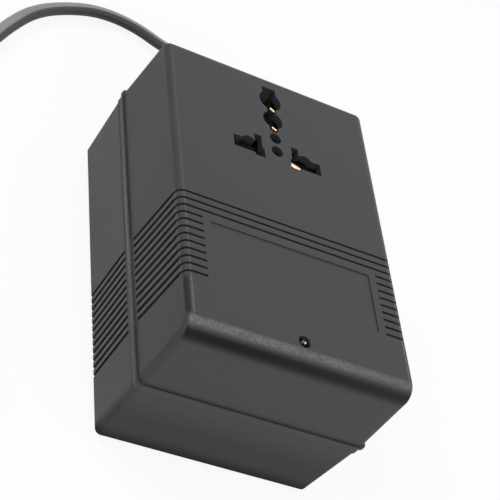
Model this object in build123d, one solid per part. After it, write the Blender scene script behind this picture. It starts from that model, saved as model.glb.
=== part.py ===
from build123d import *
import math
import os

# A step-down travel voltage converter: a two-part moulded case on rubber feet, with a universal
# outlet in its top, a transformer inside and a flat mains cord with a two-pin plug.
# Lengths are in millimetres. +Z is up, +Y points to the cord end, +X to the right when the near
# end faces the viewer. The origin is the middle of the case, on the surface that it stands on.

# Case
CASE_WIDTH = 70.0
CASE_LENGTH = 106.3
CASE_HEIGHT = 51.7
BASE_HEIGHT = 26.0
WALL = 2.2
TOP_THICK = 2.4
FLOOR_THICK = 2.4
COVER_DRAFT_X = 0.25
COVER_DRAFT_Y = 1.25
BASE_DRAFT_X = 1.5
BASE_DRAFT_Y = 0.75
EDGE_RADIUS = 2.3
BASE_EDGE_RADIUS = 1.8
NEAR_TOP_RADIUS = 5.0
BOTTOM_RADIUS = 1.0
INNER_RADIUS = 0.6

# Joint between the two mouldings
LIP_PROUD = 0.5
LIP_HEIGHT = 0.8
LIP_CORNER_RADIUS = 2.1
JOINT_GAP = 0.45
JOINT_GAP_DEPTH = 0.6
BAND_HEIGHT = 2.4
BAND_PROUD = 0.15
TONGUE_THICK = 0.9
TONGUE_HEIGHT = 1.8
TONGUE_CLEARANCE = 0.15

# Rubber feet
FOOT_RADIUS = 4.0
FOOT_STAND = 1.3
FOOT_SINK = 0.8
FOOT_INSET_X = 11.0
FOOT_INSET_Y = 15.2
FOOT_EDGE_RADIUS = 0.5
FOOT_CLEARANCE = 0.1

# Grip grooves across the case
GROOVE_COUNT = 12
FULL_GROOVES = 3
GROOVE_PITCH = 2.48
FIRST_GROOVE_Y = -6.7
SIDE_GROOVE_WIDTH = 1.15
SIDE_GROOVE_DEPTH = 1.05
TOP_GROOVE_WIDTH = 0.75
TOP_GROOVE_DEPTH = 0.6
COVER_GROOVE_END = 1.0
STUB_LENGTH = 7.0

# Recess for a rating label, left blank
LABEL_WIDTH = 50.8
LABEL_LENGTH = 19.4
LABEL_FAR_Y = -14.7
LABEL_DEPTH = 0.3

# Universal outlet in the top, measured from the line that the two live pins stand on
PIN_LINE_INSET = 32.15
BAR_NEAR = 3.2
BAR_FAR = 1.2
BAR_INNER_X = 5.0
BAR_OUTER_X = 14.7
BLADE_INNER_X = 5.05
BLADE_OUTER_X = 7.5
BLADE_FAR = 4.4
TOE_INNER_X = 4.4
TOE_OUTER_X = 7.7
TOE_NEAR = 4.0
TOE_FAR = 0.5
ROUND_PIN_X = 9.5
ROUND_PIN_RADIUS = 2.5
CENTRE_HOLE_RADIUS = 1.93
CENTRE_HOLE_RISE = 0.4
OFFSET_HOLE_RISE = 5.5
EARTH_BAR_WIDTH = 4.7
EARTH_BAR_FAR = 26.3
EARTH_ROUND_RISE = 20.9
EARTH_ROUND_RADIUS = 3.7
EARTH_LOW_RISE = 13.0
EARTH_LOW_RADIUS = 3.3
EARTH_NECK_WIDTH = 2.8
EARTH_TAIL_RISE = 9.45
EARTH_TAIL_RADIUS = 1.5

# Contact carrier under the outlet
CARRIER_GAP = 0.3
CARRIER_HEIGHT = 22.0
CARRIER_FLOOR = 2.0
CARRIER_WALL = 1.5
CARRIER_HALF_WIDTH = 17.6
CARRIER_NEAR = 7.4
CARRIER_FAR = 27.5
RIB_INNER_X = 2.3
RIB_THICK = 1.2
CROSS_RIB_RISE = 6.5
EAR_REACH = 8.0
EAR_HALF_LENGTH = 4.0
EAR_THICK = 2.6
EAR_DROP = 9.7
EAR_NEAR_RISE = 0.5
EAR_FAR_RISE = 14.0
EAR_SCREW_X = 4.3

# Brass contacts
LEAF_THICK = 0.5
CONTACT_SETBACK = 3.4
CONTACT_RISE = 0.5
CONTACT_HALF_WIDTH = 2.6
PINCH_HALF_WIDTH = 1.9
FLARE_HALF_WIDTH = 2.9
STRAIGHT_RISE = 4.0
FLARE_DROP = 3.6
CONTACT_INNER_X = 4.6
CONTACT_OUTER_X = 15.2
EARTH_CONTACT_NEAR = 9.5
EARTH_CONTACT_FAR = 25.6
TAB_WIDTH = 3.0
TAB_DROP = 4.0
TAB_CLEARANCE = 0.1

# Screws
SCREW_RADIUS = 1.5
SCREW_CLEARANCE = 0.1
HEAD_RADIUS = 2.8
HEAD_HEIGHT = 2.0
HEAD_EDGE_RADIUS = 0.7
HEAD_CLEARANCE = 0.3
DRIVE_WIDTH = 0.8
DRIVE_LENGTH = 3.2
DRIVE_DEPTH = 1.0
SCREW_BITE = 8.0
PILOT_SPARE = 1.0

# Posts and bosses
BASE_POST_RADIUS = 4.4
COVER_POST_RADIUS = 3.7
CORE_POST_RADIUS = 3.7
EAR_BOSS_RADIUS = 3.2
CASE_POST_INSET_X = 7.0
CASE_POST_INSET_Y = 7.6
POST_GAP = 0.3
SCREW_SEAT_DEPTH = 9.0

# Transformer, in the proportions of a standard core whose middle leg is two units wide
CORE_SIDE_GAP = 4.3
CORE_HEADROOM = 10.95
CORE_NEAR_GAP = 10.2
CORE_FIT = 0.1
BOBBIN_WALL = 1.0
FLANGE_THICK = 1.0
FLANGE_GAP = 0.2
WINDOW_GAP = 0.9
COIL_GAP = 1.4
SECONDARY_BUILD = 2.6
TAPE_THICK = 0.4
FLANGE_SPARE = 0.6
WASHER_RADIUS = 3.4
WASHER_THICK = 0.6

# Terminal rails of the bobbin
RAIL_HALF_WIDTH = 14.0
RAIL_REACH = 8.4
RAIL_GAP = 0.35
RAIL_THICK = 3.0
PIN_SQUARE = 1.0
PIN_SETBACK = 6.2
PIN_CEILING_GAP = 1.3
MAINS_PIN_X = 3.0
OUTPUT_PIN_X = 9.5
LAMP_PIN_X = 4.5

# Thermal fuse on the coil
FUSE_WIDTH = 7.0
FUSE_LENGTH = 9.0
FUSE_THICK = 1.6
FUSE_LEAD_RADIUS = 0.5
NOTCH_SPARE = 0.15

# Power lamp
LAMP_INSET = 7.65
LAMP_RADIUS = 1.5
LAMP_CLEARANCE = 0.1
LAMP_RIM_RADIUS = 1.9
LAMP_RIM_THICK = 0.8
LAMP_PROUD = 1.1
LAMP_EASE = 0.25
LAMP_BOSS_WALL = 1.1
LAMP_BOSS_DEPTH = 3.6
LEG_SQUARE = 0.5
LEG_SPACING = 2.54
LEG_LENGTH = 4.0
RESISTOR_RADIUS = 1.0
RESISTOR_LENGTH = 5.0

# Leads
LEAD_RADIUS = 0.9
LEAD_BEND = 2.6
OUTPUT_LEAD_DROP = 4.6
OUTPUT_LEAD_SETBACK = 3.45
MAINS_LEAD_SETBACK = 2.15
OUTPUT_LEAD_DOWN = 5.1
MAINS_LEAD_DOWN = 4.1
LAMP_LEAD_RADIUS = 0.5
LAMP_LEAD_BEND = 1.3
LAMP_LEAD_SETBACK = 2.7
LAMP_LEAD_DEPTH = 13.8
LAMP_LEAD_DOWN = 4.6

# Mains cord and its boot
CORD_WIDTH = 5.4
CORD_THICK = 3.4
CORD_X = 12.0
CORD_Z = 14.0
BOOT_LENGTH = 22.0
BOOT_WIDTH = 10.0
BOOT_HEIGHT = 8.2
BOOT_TIP_WALL = 1.2
BOOT_CLEARANCE = 0.2
BOOT_FLANGE_PROUD = 1.8
BOOT_FLANGE_THICK = 1.8
BOOT_SLITS = 5
BOOT_SLIT_PITCH = 3.4
BOOT_SLIT_WIDTH = 1.3
BOOT_SLIT_DEPTH = 1.0
BOOT_FIRST_SLIT = 4.0
CORD_CLEARANCE = 0.05
JACKET_END_INSET = 19.15
CORE_SPREAD = 1.35
LIVE_TURN_REACH = 8.0
NEUTRAL_TURN_REACH = 5.0
LIVE_JOIN_REACH = 6.7
NEUTRAL_JOIN_REACH = 6.5

# Cord clamp
CLAMP_INSET = 13.15
CLAMP_HALF_WIDTH = 9.6
CLAMP_HALF_LENGTH = 3.2
CLAMP_THICK = 2.6
CLAMP_SCREW_X = 6.6
CLAMP_POST_RADIUS = 2.9
CLAMP_GAP = 0.1
CLAMP_BITE = 6.0
SADDLE_HALF_WIDTH = 2.9

# Free stretch of the cord from the boot, on the floor, to the put-away coil
CORD_ROUTE = [
    (12.0, 84.5, 14.0),
    (10.8, 95.8, 10.7),
    (5.7, 105.4, 6.5),
    (-2.9, 112.6, 3.0),
    (-14.2, 118.2, 2.7),
    (-27.6, 118.9, 2.7),
    (-40.7, 113.8, 2.7),
    (-52.6, 105.9, 2.7),
    (-61.3, 94.7, 2.7),
    (-68.7, 82.6, 2.7),
    (-75.2, 71.9, 2.8),
    (-81.3, 60.9, 3.0),
    (-86.2, 51.6, 3.3),
    (-89.2, 43.0, 3.4),
    (-90.0, 35.0, 3.5),
]
CORNER_SHARE = 0.45

# Put-away coil and its tie
COIL_START_Y = 21.8
COIL_OUTER_RADIUS = 36.5
COIL_PITCH = 5.9
COIL_TURN_IN = 1.0
COIL_LEVELS_HALF_TURNS = 6
TIE_THICK = 0.6
TIE_WIDTH = 6.0
TIE_GAP = 0.2
TIE_SPARE = 0.5
TIE_CORNER = 1.6

# Plug
PLUG_LEAD_RUN = 6.5
PLUG_LEAD_FALL_SHARES = [0.0, 0.48, 0.52, 0.0]
PLUG_WIDTH = 35.3
PLUG_THICK = 13.7
PLUG_DEPTH = 24.0
PLUG_REAR_WIDTH = 17.0
PLUG_FRONT_DEPTH = 8.0
PLUG_EDGE_RADIUS = 2.2
PLUG_BOOT_LENGTH = 13.0
PLUG_BOOT_WIDTH = 11.0
PLUG_BOOT_HEIGHT = 9.4
PLUG_BOOT_TIP = 8.2
PLUG_PIN_SPACING = 19.0
PLUG_PIN_LENGTH = 19.0
PLUG_PIN_RADIUS = 2.0
PLUG_PIN_ROOT = 9.0
PIN_NECK_RADIUS = 1.3
PIN_TIP_RADIUS = 1.0
SLEEVE_RADIUS = 1.75
SLEEVE_LENGTH = 10.0

# How far a cutter runs past what it cuts
OVERRUN = 2.0

# Spacing of the points on which the coil's gap to itself is measured
SAMPLE = 1.5

# Heights and half sizes worked out from the above
BOTTOM = FOOT_STAND
PART_LINE = BOTTOM + BASE_HEIGHT
TOP = BOTTOM + CASE_HEIGHT
FLOOR = BOTTOM + FLOOR_THICK
CEILING = TOP - TOP_THICK
HALF_X = CASE_WIDTH / 2
HALF_Y = CASE_LENGTH / 2
COVER_TOP_X = HALF_X - COVER_DRAFT_X
COVER_TOP_Y = HALF_Y - COVER_DRAFT_Y
BASE_TOP_X = HALF_X - BAND_PROUD
BASE_TOP_Y = HALF_Y - BAND_PROUD
BASE_BOTTOM_X = HALF_X - BASE_DRAFT_X
BASE_BOTTOM_Y = HALF_Y - BASE_DRAFT_Y
INNER_X = HALF_X - WALL
INNER_Y = HALF_Y - WALL
CASE_POST_X = HALF_X - CASE_POST_INSET_X
CASE_POST_Y = HALF_Y - CASE_POST_INSET_Y
GROOVE_YS = [FIRST_GROOVE_Y - GROOVE_PITCH * i for i in range(GROOVE_COUNT)]
LABEL_Y = LABEL_FAR_Y - LABEL_LENGTH / 2
SIDES = (-1, 1)

PIN_LINE_Y = HALF_Y - PIN_LINE_INSET
CARRIER_TOP = CEILING - CARRIER_GAP
CARRIER_BOTTOM = CARRIER_TOP - CARRIER_HEIGHT
CONTACT_FLOOR = CARRIER_BOTTOM + CARRIER_FLOOR
CONTACT_TOP = TOP - CONTACT_SETBACK
EAR_TOP = CARRIER_TOP - EAR_DROP
EAR_X = CARRIER_HALF_WIDTH + EAR_SCREW_X
EAR_YS = [PIN_LINE_Y + EAR_NEAR_RISE, PIN_LINE_Y + EAR_FAR_RISE]

CORE_UNIT = (INNER_X - CORE_SIDE_GAP) / 3
STACK = CEILING - FLOOR - 2 * CORE_HEADROOM
CORE_Y = -INNER_Y + CORE_NEAR_GAP + 2.5 * CORE_UNIT
CORE_Z = (FLOOR + CEILING) / 2
CORE_BOTTOM = CORE_Z - STACK / 2
CORE_TOP = CORE_Z + STACK / 2
CORE_HALF_X = 3 * CORE_UNIT
CORE_NEAR = CORE_Y - 2.5 * CORE_UNIT
CORE_FAR = CORE_Y + 2.5 * CORE_UNIT
CORE_JOINT = CORE_Y + 1.5 * CORE_UNIT
CORE_HOLES = [(sx * 2.5 * CORE_UNIT, CORE_Y + sy * 2 * CORE_UNIT) for sx in SIDES for sy in SIDES]
LEG_HALF_X = CORE_UNIT + CORE_FIT
LEG_HALF_Z = STACK / 2 + CORE_FIT
FLANGE_OUTER = 1.5 * CORE_UNIT - FLANGE_GAP
FLANGE_INNER = FLANGE_OUTER - FLANGE_THICK
COIL_BUILD = CORE_UNIT - CORE_FIT - BOBBIN_WALL - COIL_GAP
PRIMARY_BUILD = COIL_BUILD - SECONDARY_BUILD - TAPE_THICK
COIL_TOP = CORE_Z + LEG_HALF_Z + BOBBIN_WALL + COIL_BUILD
RAIL_BOTTOM = CORE_TOP + RAIL_GAP
RAIL_TOP = RAIL_BOTTOM + RAIL_THICK
PIN_TOP = CEILING - PIN_CEILING_GAP
FAR_PIN_Y = CORE_Y + FLANGE_OUTER + PIN_SETBACK
NEAR_PIN_Y = CORE_Y - FLANGE_OUTER - PIN_SETBACK

OUTPUT_LEAD_Y = CORE_FAR + OUTPUT_LEAD_SETBACK
MAINS_LEAD_Y = CORE_FAR + MAINS_LEAD_SETBACK
LAMP_Y = -HALF_Y + LAMP_INSET
LAMP_LEAD_Y = LAMP_Y + LAMP_LEAD_SETBACK
LAMP_LEAD_Z = CEILING - LAMP_LEAD_DEPTH

CLAMP_Y = HALF_Y - CLAMP_INSET
JACKET_END_Y = HALF_Y - JACKET_END_INSET
LIVE_TURN_Y = JACKET_END_Y - LIVE_TURN_REACH
NEUTRAL_TURN_Y = JACKET_END_Y - NEUTRAL_TURN_REACH
LIVE_JOIN_Y = MAINS_LEAD_Y + LIVE_JOIN_REACH
NEUTRAL_JOIN_Y = MAINS_LEAD_Y + NEUTRAL_JOIN_REACH
CORD_RADIUS = CORD_WIDTH / 2
BOOT_TIP_Y = HALF_Y + BOOT_LENGTH
COIL_X = CORD_ROUTE[-1][0] - COIL_OUTER_RADIUS
COIL_Y = COIL_START_Y
COIL_Z = CORD_ROUTE[-1][2]

made = {}


def block(x0, x1, y0, y1, z0, z1):
    """A box between two corners."""
    return Pos((x0 + x1) / 2, (y0 + y1) / 2, (z0 + z1) / 2) * Box(x1 - x0, y1 - y0, z1 - z0)


def rod(x, y, z0, z1, radius):
    """An upright cylinder."""
    return Pos(x, y, (z0 + z1) / 2) * Cylinder(radius, abs(z1 - z0))


def frustum(low, high, z0, z1, radius):
    """An upright block that changes from one rounded rectangle to another."""
    lower = Plane.XY.offset(z0) * RectangleRounded(2 * low[0], 2 * low[1], radius)
    upper = Plane.XY.offset(z1) * RectangleRounded(2 * high[0], 2 * high[1], radius)
    return loft([lower, upper])


def plate(half_x, half_y, z0, z1, radius):
    """A flat block with rounded corners."""
    return frustum((half_x, half_y), (half_x, half_y), z0, z1, radius)


def keep(node, *solids):
    """Keep one node's separate solids under the node's name."""
    made[node] = solids[0] if len(solids) == 1 else Compound(children=list(solids))


def wire_tube(points, radius, bend):
    """A round wire along straight runs joined by arcs."""
    path = FilletPolyline(*points, radius=bend)
    start = Plane(origin=points[0], z_dir=Vector(*points[1]) - Vector(*points[0]))
    return sweep(start * Circle(radius), path)


def ribbon(points, thick):
    """The outline of a bent strip of even thickness, from the line along one of its faces."""
    far = []
    for i, (u, v) in enumerate(points):
        before = points[max(i - 1, 0)]
        after = points[min(i + 1, len(points) - 1)]
        first = Vector(u - before[0], v - before[1]) if i > 0 else None
        second = Vector(after[0] - u, after[1] - v) if i < len(points) - 1 else None
        first = first or second
        second = second or first
        a = Vector(-first.Y, first.X).normalized()
        b = Vector(-second.Y, second.X).normalized()
        mid = (a + b).normalized()
        reach = thick / mid.dot(a)
        far.append((u + mid.X * reach, v + mid.Y * reach))
    return list(points) + far[::-1]


def screw(x, y, seat, tip):
    """A pan-head screw: its head rests at one height and its point is at the other."""
    way = 1 if tip > seat else -1
    head_end = seat - way * HEAD_HEIGHT
    head = rod(x, y, min(seat, head_end), max(seat, head_end), HEAD_RADIUS)
    rim = head.edges().filter_by(GeomType.CIRCLE).sort_by(Axis.Z)[0 if way > 0 else -1]
    head = fillet(rim, HEAD_EDGE_RADIUS)
    drive_end = head_end + way * DRIVE_DEPTH
    low = min(head_end, drive_end)
    for wide, long in ((DRIVE_WIDTH, DRIVE_LENGTH), (DRIVE_LENGTH, DRIVE_WIDTH)):
        head -= Pos(x, y, low + DRIVE_DEPTH / 2) * Box(wide, long, DRIVE_DEPTH)
    return head + rod(x, y, min(seat, tip), max(seat, tip), SCREW_RADIUS)

# Case mouldings


def cover_outside():
    """The cover's outer form, with a larger round along the near top edge than elsewhere."""
    low = Plane.XY.offset(PART_LINE) * Rectangle(2 * HALF_X, 2 * HALF_Y)
    high = Plane.XY.offset(TOP) * Rectangle(2 * COVER_TOP_X, 2 * COVER_TOP_Y)
    body = loft([low, high])
    body = fillet(body.edges().group_by(Axis.Z)[-1].sort_by(Axis.Y)[0], NEAR_TOP_RADIUS)
    soft = []
    for face in (body.faces().sort_by(Axis.X)[0], body.faces().sort_by(Axis.X)[-1]):
        soft += [e for e in face.edges() if e.center().Z > PART_LINE + INNER_RADIUS]
    soft.append(body.edges().group_by(Axis.Z)[-1].sort_by(Axis.Y)[-1])
    return fillet(soft, EDGE_RADIUS)


def side_groove(side, y, low, high, deep_low, deep_high):
    """A cutter for one upright groove that follows the lean of a side wall."""
    points = [
        (side * deep_low, low),
        (side * deep_high, high),
        (side * (HALF_X + OVERRUN), high),
        (side * (HALF_X + OVERRUN), low),
    ]
    face = Plane.XZ.offset(-y) * Polygon(*points, align=None)
    return extrude(face, SIDE_GROOVE_WIDTH / 2, both=True)


def cover_grooves():
    """Cutters for the grooves on the cover's sides, round its top edges and on its top."""
    cutters = []
    low = PART_LINE + LIP_HEIGHT + COVER_GROOVE_END
    high = TOP - EDGE_RADIUS
    bend = EDGE_RADIUS - TOP_GROOVE_DEPTH
    for index, y in enumerate(GROOVE_YS):
        for side in SIDES:
            cutters.append(
                side_groove(
                    side, y, low, high, HALF_X - SIDE_GROOVE_DEPTH, COVER_TOP_X - SIDE_GROOVE_DEPTH
                )
            )
            centre_x = COVER_TOP_X - EDGE_RADIUS
            outer = block(
                min(side * (centre_x - STUB_LENGTH + EDGE_RADIUS), side * (HALF_X + OVERRUN)),
                max(side * (centre_x - STUB_LENGTH + EDGE_RADIUS), side * (HALF_X + OVERRUN)),
                y - TOP_GROOVE_WIDTH / 2,
                y + TOP_GROOVE_WIDTH / 2,
                TOP - EDGE_RADIUS,
                TOP + OVERRUN,
            )
            inner_x = centre_x + bend
            keep_in = block(
                min(0, side * inner_x),
                max(0, side * inner_x),
                y - TOP_GROOVE_WIDTH,
                y + TOP_GROOVE_WIDTH,
                CEILING - OVERRUN,
                TOP - TOP_GROOVE_DEPTH,
            )
            corner = keep_in.edges().filter_by(Axis.Y).sort_by(lambda e: side * e.center().X)
            corner = [e for e in corner if e.center().Z > CEILING][-1]
            cutters.append(outer - fillet(corner, bend))
        if index < FULL_GROOVES:
            cutters.append(
                block(
                    -COVER_TOP_X + EDGE_RADIUS,
                    COVER_TOP_X - EDGE_RADIUS,
                    y - TOP_GROOVE_WIDTH / 2,
                    y + TOP_GROOVE_WIDTH / 2,
                    TOP - TOP_GROOVE_DEPTH,
                    TOP + OVERRUN,
                )
            )
    return cutters


def outlet_shape():
    """The outline of every opening in the outlet."""
    shape = Pos(0, PIN_LINE_Y + CENTRE_HOLE_RISE) * Circle(CENTRE_HOLE_RADIUS)
    shape += Pos(0, PIN_LINE_Y + OFFSET_HOLE_RISE) * Circle(CENTRE_HOLE_RADIUS)
    for side in SIDES:
        for inner, outer, near, far in (
            (BAR_INNER_X, BAR_OUTER_X, -BAR_NEAR, BAR_FAR),
            (BLADE_INNER_X, BLADE_OUTER_X, -BAR_NEAR, BLADE_FAR),
            (TOE_INNER_X, TOE_OUTER_X, -TOE_NEAR, -TOE_FAR),
        ):
            middle = Pos(side * (inner + outer) / 2, PIN_LINE_Y + (near + far) / 2)
            shape += middle * Rectangle(outer - inner, far - near)
        shape += Pos(side * ROUND_PIN_X, PIN_LINE_Y) * Circle(ROUND_PIN_RADIUS)
    shape += Pos(0, PIN_LINE_Y + EARTH_ROUND_RISE) * Circle(EARTH_ROUND_RADIUS)
    shape += Pos(0, PIN_LINE_Y + EARTH_LOW_RISE) * Circle(EARTH_LOW_RADIUS)
    shape += Pos(0, PIN_LINE_Y + EARTH_TAIL_RISE) * Circle(EARTH_TAIL_RADIUS)
    bar = EARTH_BAR_FAR - EARTH_ROUND_RISE
    middle = PIN_LINE_Y + EARTH_ROUND_RISE + bar / 2
    shape += Pos(0, middle) * Rectangle(EARTH_BAR_WIDTH, bar)
    neck = EARTH_ROUND_RISE - EARTH_LOW_RISE
    middle = PIN_LINE_Y + EARTH_LOW_RISE + neck / 2
    shape += Pos(0, middle) * Rectangle(EARTH_NECK_WIDTH, neck)
    return shape


def make_cover():
    """The upper moulding, with its outlet openings, grooves, posts and lamp seat."""
    cover = cover_outside()
    lip = (HALF_X + LIP_PROUD, HALF_Y + LIP_PROUD)
    cover += plate(*lip, PART_LINE, PART_LINE + LIP_HEIGHT, LIP_CORNER_RADIUS)
    cover -= frustum(
        (INNER_X, INNER_Y),
        (COVER_TOP_X - WALL, COVER_TOP_Y - WALL),
        PART_LINE,
        CEILING,
        INNER_RADIUS,
    )
    rebate = TONGUE_THICK + TONGUE_CLEARANCE
    cover -= plate(
        INNER_X + rebate,
        INNER_Y + rebate,
        PART_LINE,
        PART_LINE + TONGUE_HEIGHT + TONGUE_CLEARANCE,
        INNER_RADIUS + rebate,
    )
    pilot = SCREW_RADIUS + SCREW_CLEARANCE
    for sx in SIDES:
        for sy in SIDES:
            place = (sx * CASE_POST_X, sy * CASE_POST_Y)
            low = PART_LINE + POST_GAP
            cover += rod(*place, low, CEILING, COVER_POST_RADIUS)
            cover -= rod(*place, low, low + SCREW_BITE + PILOT_SPARE, pilot)
        for y in EAR_YS:
            cover += rod(sx * EAR_X, y, EAR_TOP, CEILING, EAR_BOSS_RADIUS)
            cover -= rod(sx * EAR_X, y, EAR_TOP, EAR_TOP + SCREW_BITE + PILOT_SPARE, pilot)
    seat_radius = LAMP_RIM_RADIUS + LAMP_CLEARANCE
    boss_low = CEILING - LAMP_BOSS_DEPTH
    cover += rod(0, LAMP_Y, boss_low, CEILING, seat_radius + LAMP_BOSS_WALL)
    cover -= rod(0, LAMP_Y, boss_low, CEILING, seat_radius)
    hole = LAMP_RADIUS + LAMP_CLEARANCE
    cover -= rod(0, LAMP_Y, CEILING, TOP, hole)
    cover -= Pos(0, LAMP_Y, TOP - LAMP_EASE / 2) * Cone(hole, hole + LAMP_EASE, LAMP_EASE)
    cover -= Plane.XY.offset(CEILING) * extrude(outlet_shape(), TOP_THICK)
    label = Pos(0, LABEL_Y, 0) * plate(
        LABEL_WIDTH / 2, LABEL_LENGTH / 2, TOP - LABEL_DEPTH, TOP, INNER_RADIUS
    )
    cover -= label
    cover -= cover_grooves()
    return cover


def make_base():
    """The lower moulding, with its rim, feet seats, posts, cord hole and cord saddle."""
    low = (BASE_BOTTOM_X, BASE_BOTTOM_Y)
    high = (BASE_TOP_X, BASE_TOP_Y)
    seat = PART_LINE - JOINT_GAP
    base = frustum(low, high, BOTTOM, seat, BASE_EDGE_RADIUS)
    base = fillet(base.edges().group_by(Axis.Z)[0], BOTTOM_RADIUS)
    base += plate(HALF_X, HALF_Y, seat - BAND_HEIGHT, seat, BASE_EDGE_RADIUS)
    ring = JOINT_GAP_DEPTH
    base += plate(HALF_X - ring, HALF_Y - ring, seat, PART_LINE, BASE_EDGE_RADIUS - ring)
    tongue = (INNER_X + TONGUE_THICK, INNER_Y + TONGUE_THICK)
    base += plate(*tongue, PART_LINE, PART_LINE + TONGUE_HEIGHT, INNER_RADIUS + TONGUE_THICK)
    base -= frustum(
        (BASE_BOTTOM_X - WALL, BASE_BOTTOM_Y - WALL),
        (INNER_X, INNER_Y),
        FLOOR,
        PART_LINE,
        INNER_RADIUS,
    )
    base -= plate(INNER_X, INNER_Y, PART_LINE, PART_LINE + TONGUE_HEIGHT, INNER_RADIUS)
    for side in SIDES:
        for y in GROOVE_YS:
            end = seat - BAND_HEIGHT - INNER_RADIUS
            lean = (BASE_TOP_X - BASE_BOTTOM_X) / BASE_HEIGHT
            deep_low = BASE_BOTTOM_X - SIDE_GROOVE_DEPTH
            deep_high = deep_low + lean * (end - BOTTOM)
            base -= side_groove(side, y, BOTTOM, end, deep_low, deep_high)
    hole = SCREW_RADIUS + SCREW_CLEARANCE
    head = HEAD_RADIUS + HEAD_CLEARANCE
    for sx in SIDES:
        for sy in SIDES:
            place = (sx * CASE_POST_X, sy * CASE_POST_Y)
            base += rod(*place, BOTTOM + BOTTOM_RADIUS, PART_LINE, BASE_POST_RADIUS)
            base -= rod(*place, BOTTOM, PART_LINE, hole)
            base -= rod(*place, BOTTOM, BOTTOM + SCREW_SEAT_DEPTH, head)
            foot = (sx * (HALF_X - FOOT_INSET_X), sy * (HALF_Y - FOOT_INSET_Y))
            base -= rod(*foot, BOTTOM, BOTTOM + FOOT_SINK, FOOT_RADIUS + FOOT_CLEARANCE)
    for place in CORE_HOLES:
        base += rod(*place, FLOOR, CORE_BOTTOM, CORE_POST_RADIUS)
        base -= rod(*place, CORE_BOTTOM - SCREW_BITE - PILOT_SPARE, CORE_BOTTOM, hole)
    boot_hole = RectangleRounded(BOOT_WIDTH, BOOT_HEIGHT, BOOT_HEIGHT / 2 - INNER_RADIUS)
    wall = Plane.XZ.offset(-(INNER_Y - OVERRUN)) * Pos(CORD_X, CORD_Z) * boot_hole
    base -= extrude(wall, -(WALL + 2 * OVERRUN))
    cord_low = CORD_Z - CORD_THICK / 2
    base += block(
        CORD_X - SADDLE_HALF_WIDTH,
        CORD_X + SADDLE_HALF_WIDTH,
        CLAMP_Y - CLAMP_HALF_LENGTH,
        CLAMP_Y + CLAMP_HALF_LENGTH,
        FLOOR,
        cord_low,
    )
    post_top = cord_low + CORD_THICK - CLAMP_GAP
    for side in SIDES:
        place = (CORD_X + side * CLAMP_SCREW_X, CLAMP_Y)
        base += rod(*place, FLOOR, post_top, CLAMP_POST_RADIUS)
        base -= rod(*place, post_top - CLAMP_BITE - PILOT_SPARE, post_top, hole)
    return base


keep("cover", make_cover())
keep("base", make_base())

# Feet and the screws of the case


def make_foot(x, y):
    """A rubber foot set into its seat in the bottom."""
    foot = rod(x, y, 0, BOTTOM + FOOT_SINK, FOOT_RADIUS)
    return fillet(foot.edges().sort_by(Axis.Z)[0], FOOT_EDGE_RADIUS)


feet = []
case_screws = []
for sx in SIDES:
    for sy in SIDES:
        feet.append(make_foot(sx * (HALF_X - FOOT_INSET_X), sy * (HALF_Y - FOOT_INSET_Y)))
        tip = PART_LINE + POST_GAP + SCREW_BITE
        case_screws.append(
            screw(sx * CASE_POST_X, sy * CASE_POST_Y, BOTTOM + SCREW_SEAT_DEPTH, tip)
        )
keep("feet", *feet)
keep("case_screws", *case_screws)

# Outlet: carrier, contacts and screws


def tab_cutter(x, y, gap):
    """The space of a solder tab that goes down through the carrier's floor."""
    half = TAB_WIDTH / 2 + gap
    thin = LEAF_THICK / 2 + gap
    return block(x - half, x + half, y - thin, y + thin, CARRIER_BOTTOM - TAB_DROP, CONTACT_FLOOR)


TAB_SPOTS = [
    (-OUTPUT_PIN_X, PIN_LINE_Y - CONTACT_RISE),
    (OUTPUT_PIN_X, PIN_LINE_Y - CONTACT_RISE),
    (0, PIN_LINE_Y + (EARTH_CONTACT_NEAR + EARTH_CONTACT_FAR) / 2),
]


def make_carrier():
    """An open box that holds the contacts, with a screw ear at each corner."""
    near = PIN_LINE_Y - CARRIER_NEAR
    far = PIN_LINE_Y + CARRIER_FAR
    body = block(-CARRIER_HALF_WIDTH, CARRIER_HALF_WIDTH, near, far, CARRIER_BOTTOM, CARRIER_TOP)
    inside_x = CARRIER_HALF_WIDTH - CARRIER_WALL
    body -= block(
        -inside_x, inside_x, near + CARRIER_WALL, far - CARRIER_WALL, CONTACT_FLOOR, CARRIER_TOP
    )
    cross = PIN_LINE_Y + CROSS_RIB_RISE
    rib_top = CONTACT_TOP
    body += block(-inside_x, inside_x, cross, cross + RIB_THICK, CONTACT_FLOOR, rib_top)
    for side in SIDES:
        low = min(side * RIB_INNER_X, side * (RIB_INNER_X + RIB_THICK))
        body += block(low, low + RIB_THICK, near + CARRIER_WALL, cross, CONTACT_FLOOR, rib_top)
        for y in EAR_YS:
            start = side * (CARRIER_HALF_WIDTH - CARRIER_WALL / 2)
            end = side * (CARRIER_HALF_WIDTH + EAR_REACH)
            body += block(
                min(start, end),
                max(start, end),
                y - EAR_HALF_LENGTH,
                y + EAR_HALF_LENGTH,
                EAR_TOP - EAR_THICK,
                EAR_TOP,
            )
            hole = SCREW_RADIUS + SCREW_CLEARANCE
            body -= rod(side * EAR_X, y, EAR_TOP - EAR_THICK, EAR_TOP, hole)
    for x, y in TAB_SPOTS:
        body -= tab_cutter(x, y, TAB_CLEARANCE)
    return body


def contact_profile():
    """The bent strip of a contact: a floor and two leaves that pinch and then flare."""
    low = CONTACT_FLOOR
    top = CONTACT_TOP
    right = [
        (CONTACT_HALF_WIDTH, low),
        (CONTACT_HALF_WIDTH, low + STRAIGHT_RISE),
        (PINCH_HALF_WIDTH, top - FLARE_DROP),
        (FLARE_HALF_WIDTH, top),
    ]
    left = [(-u, v) for u, v in right[::-1]]
    return ribbon(left + right, LEAF_THICK)


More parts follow.
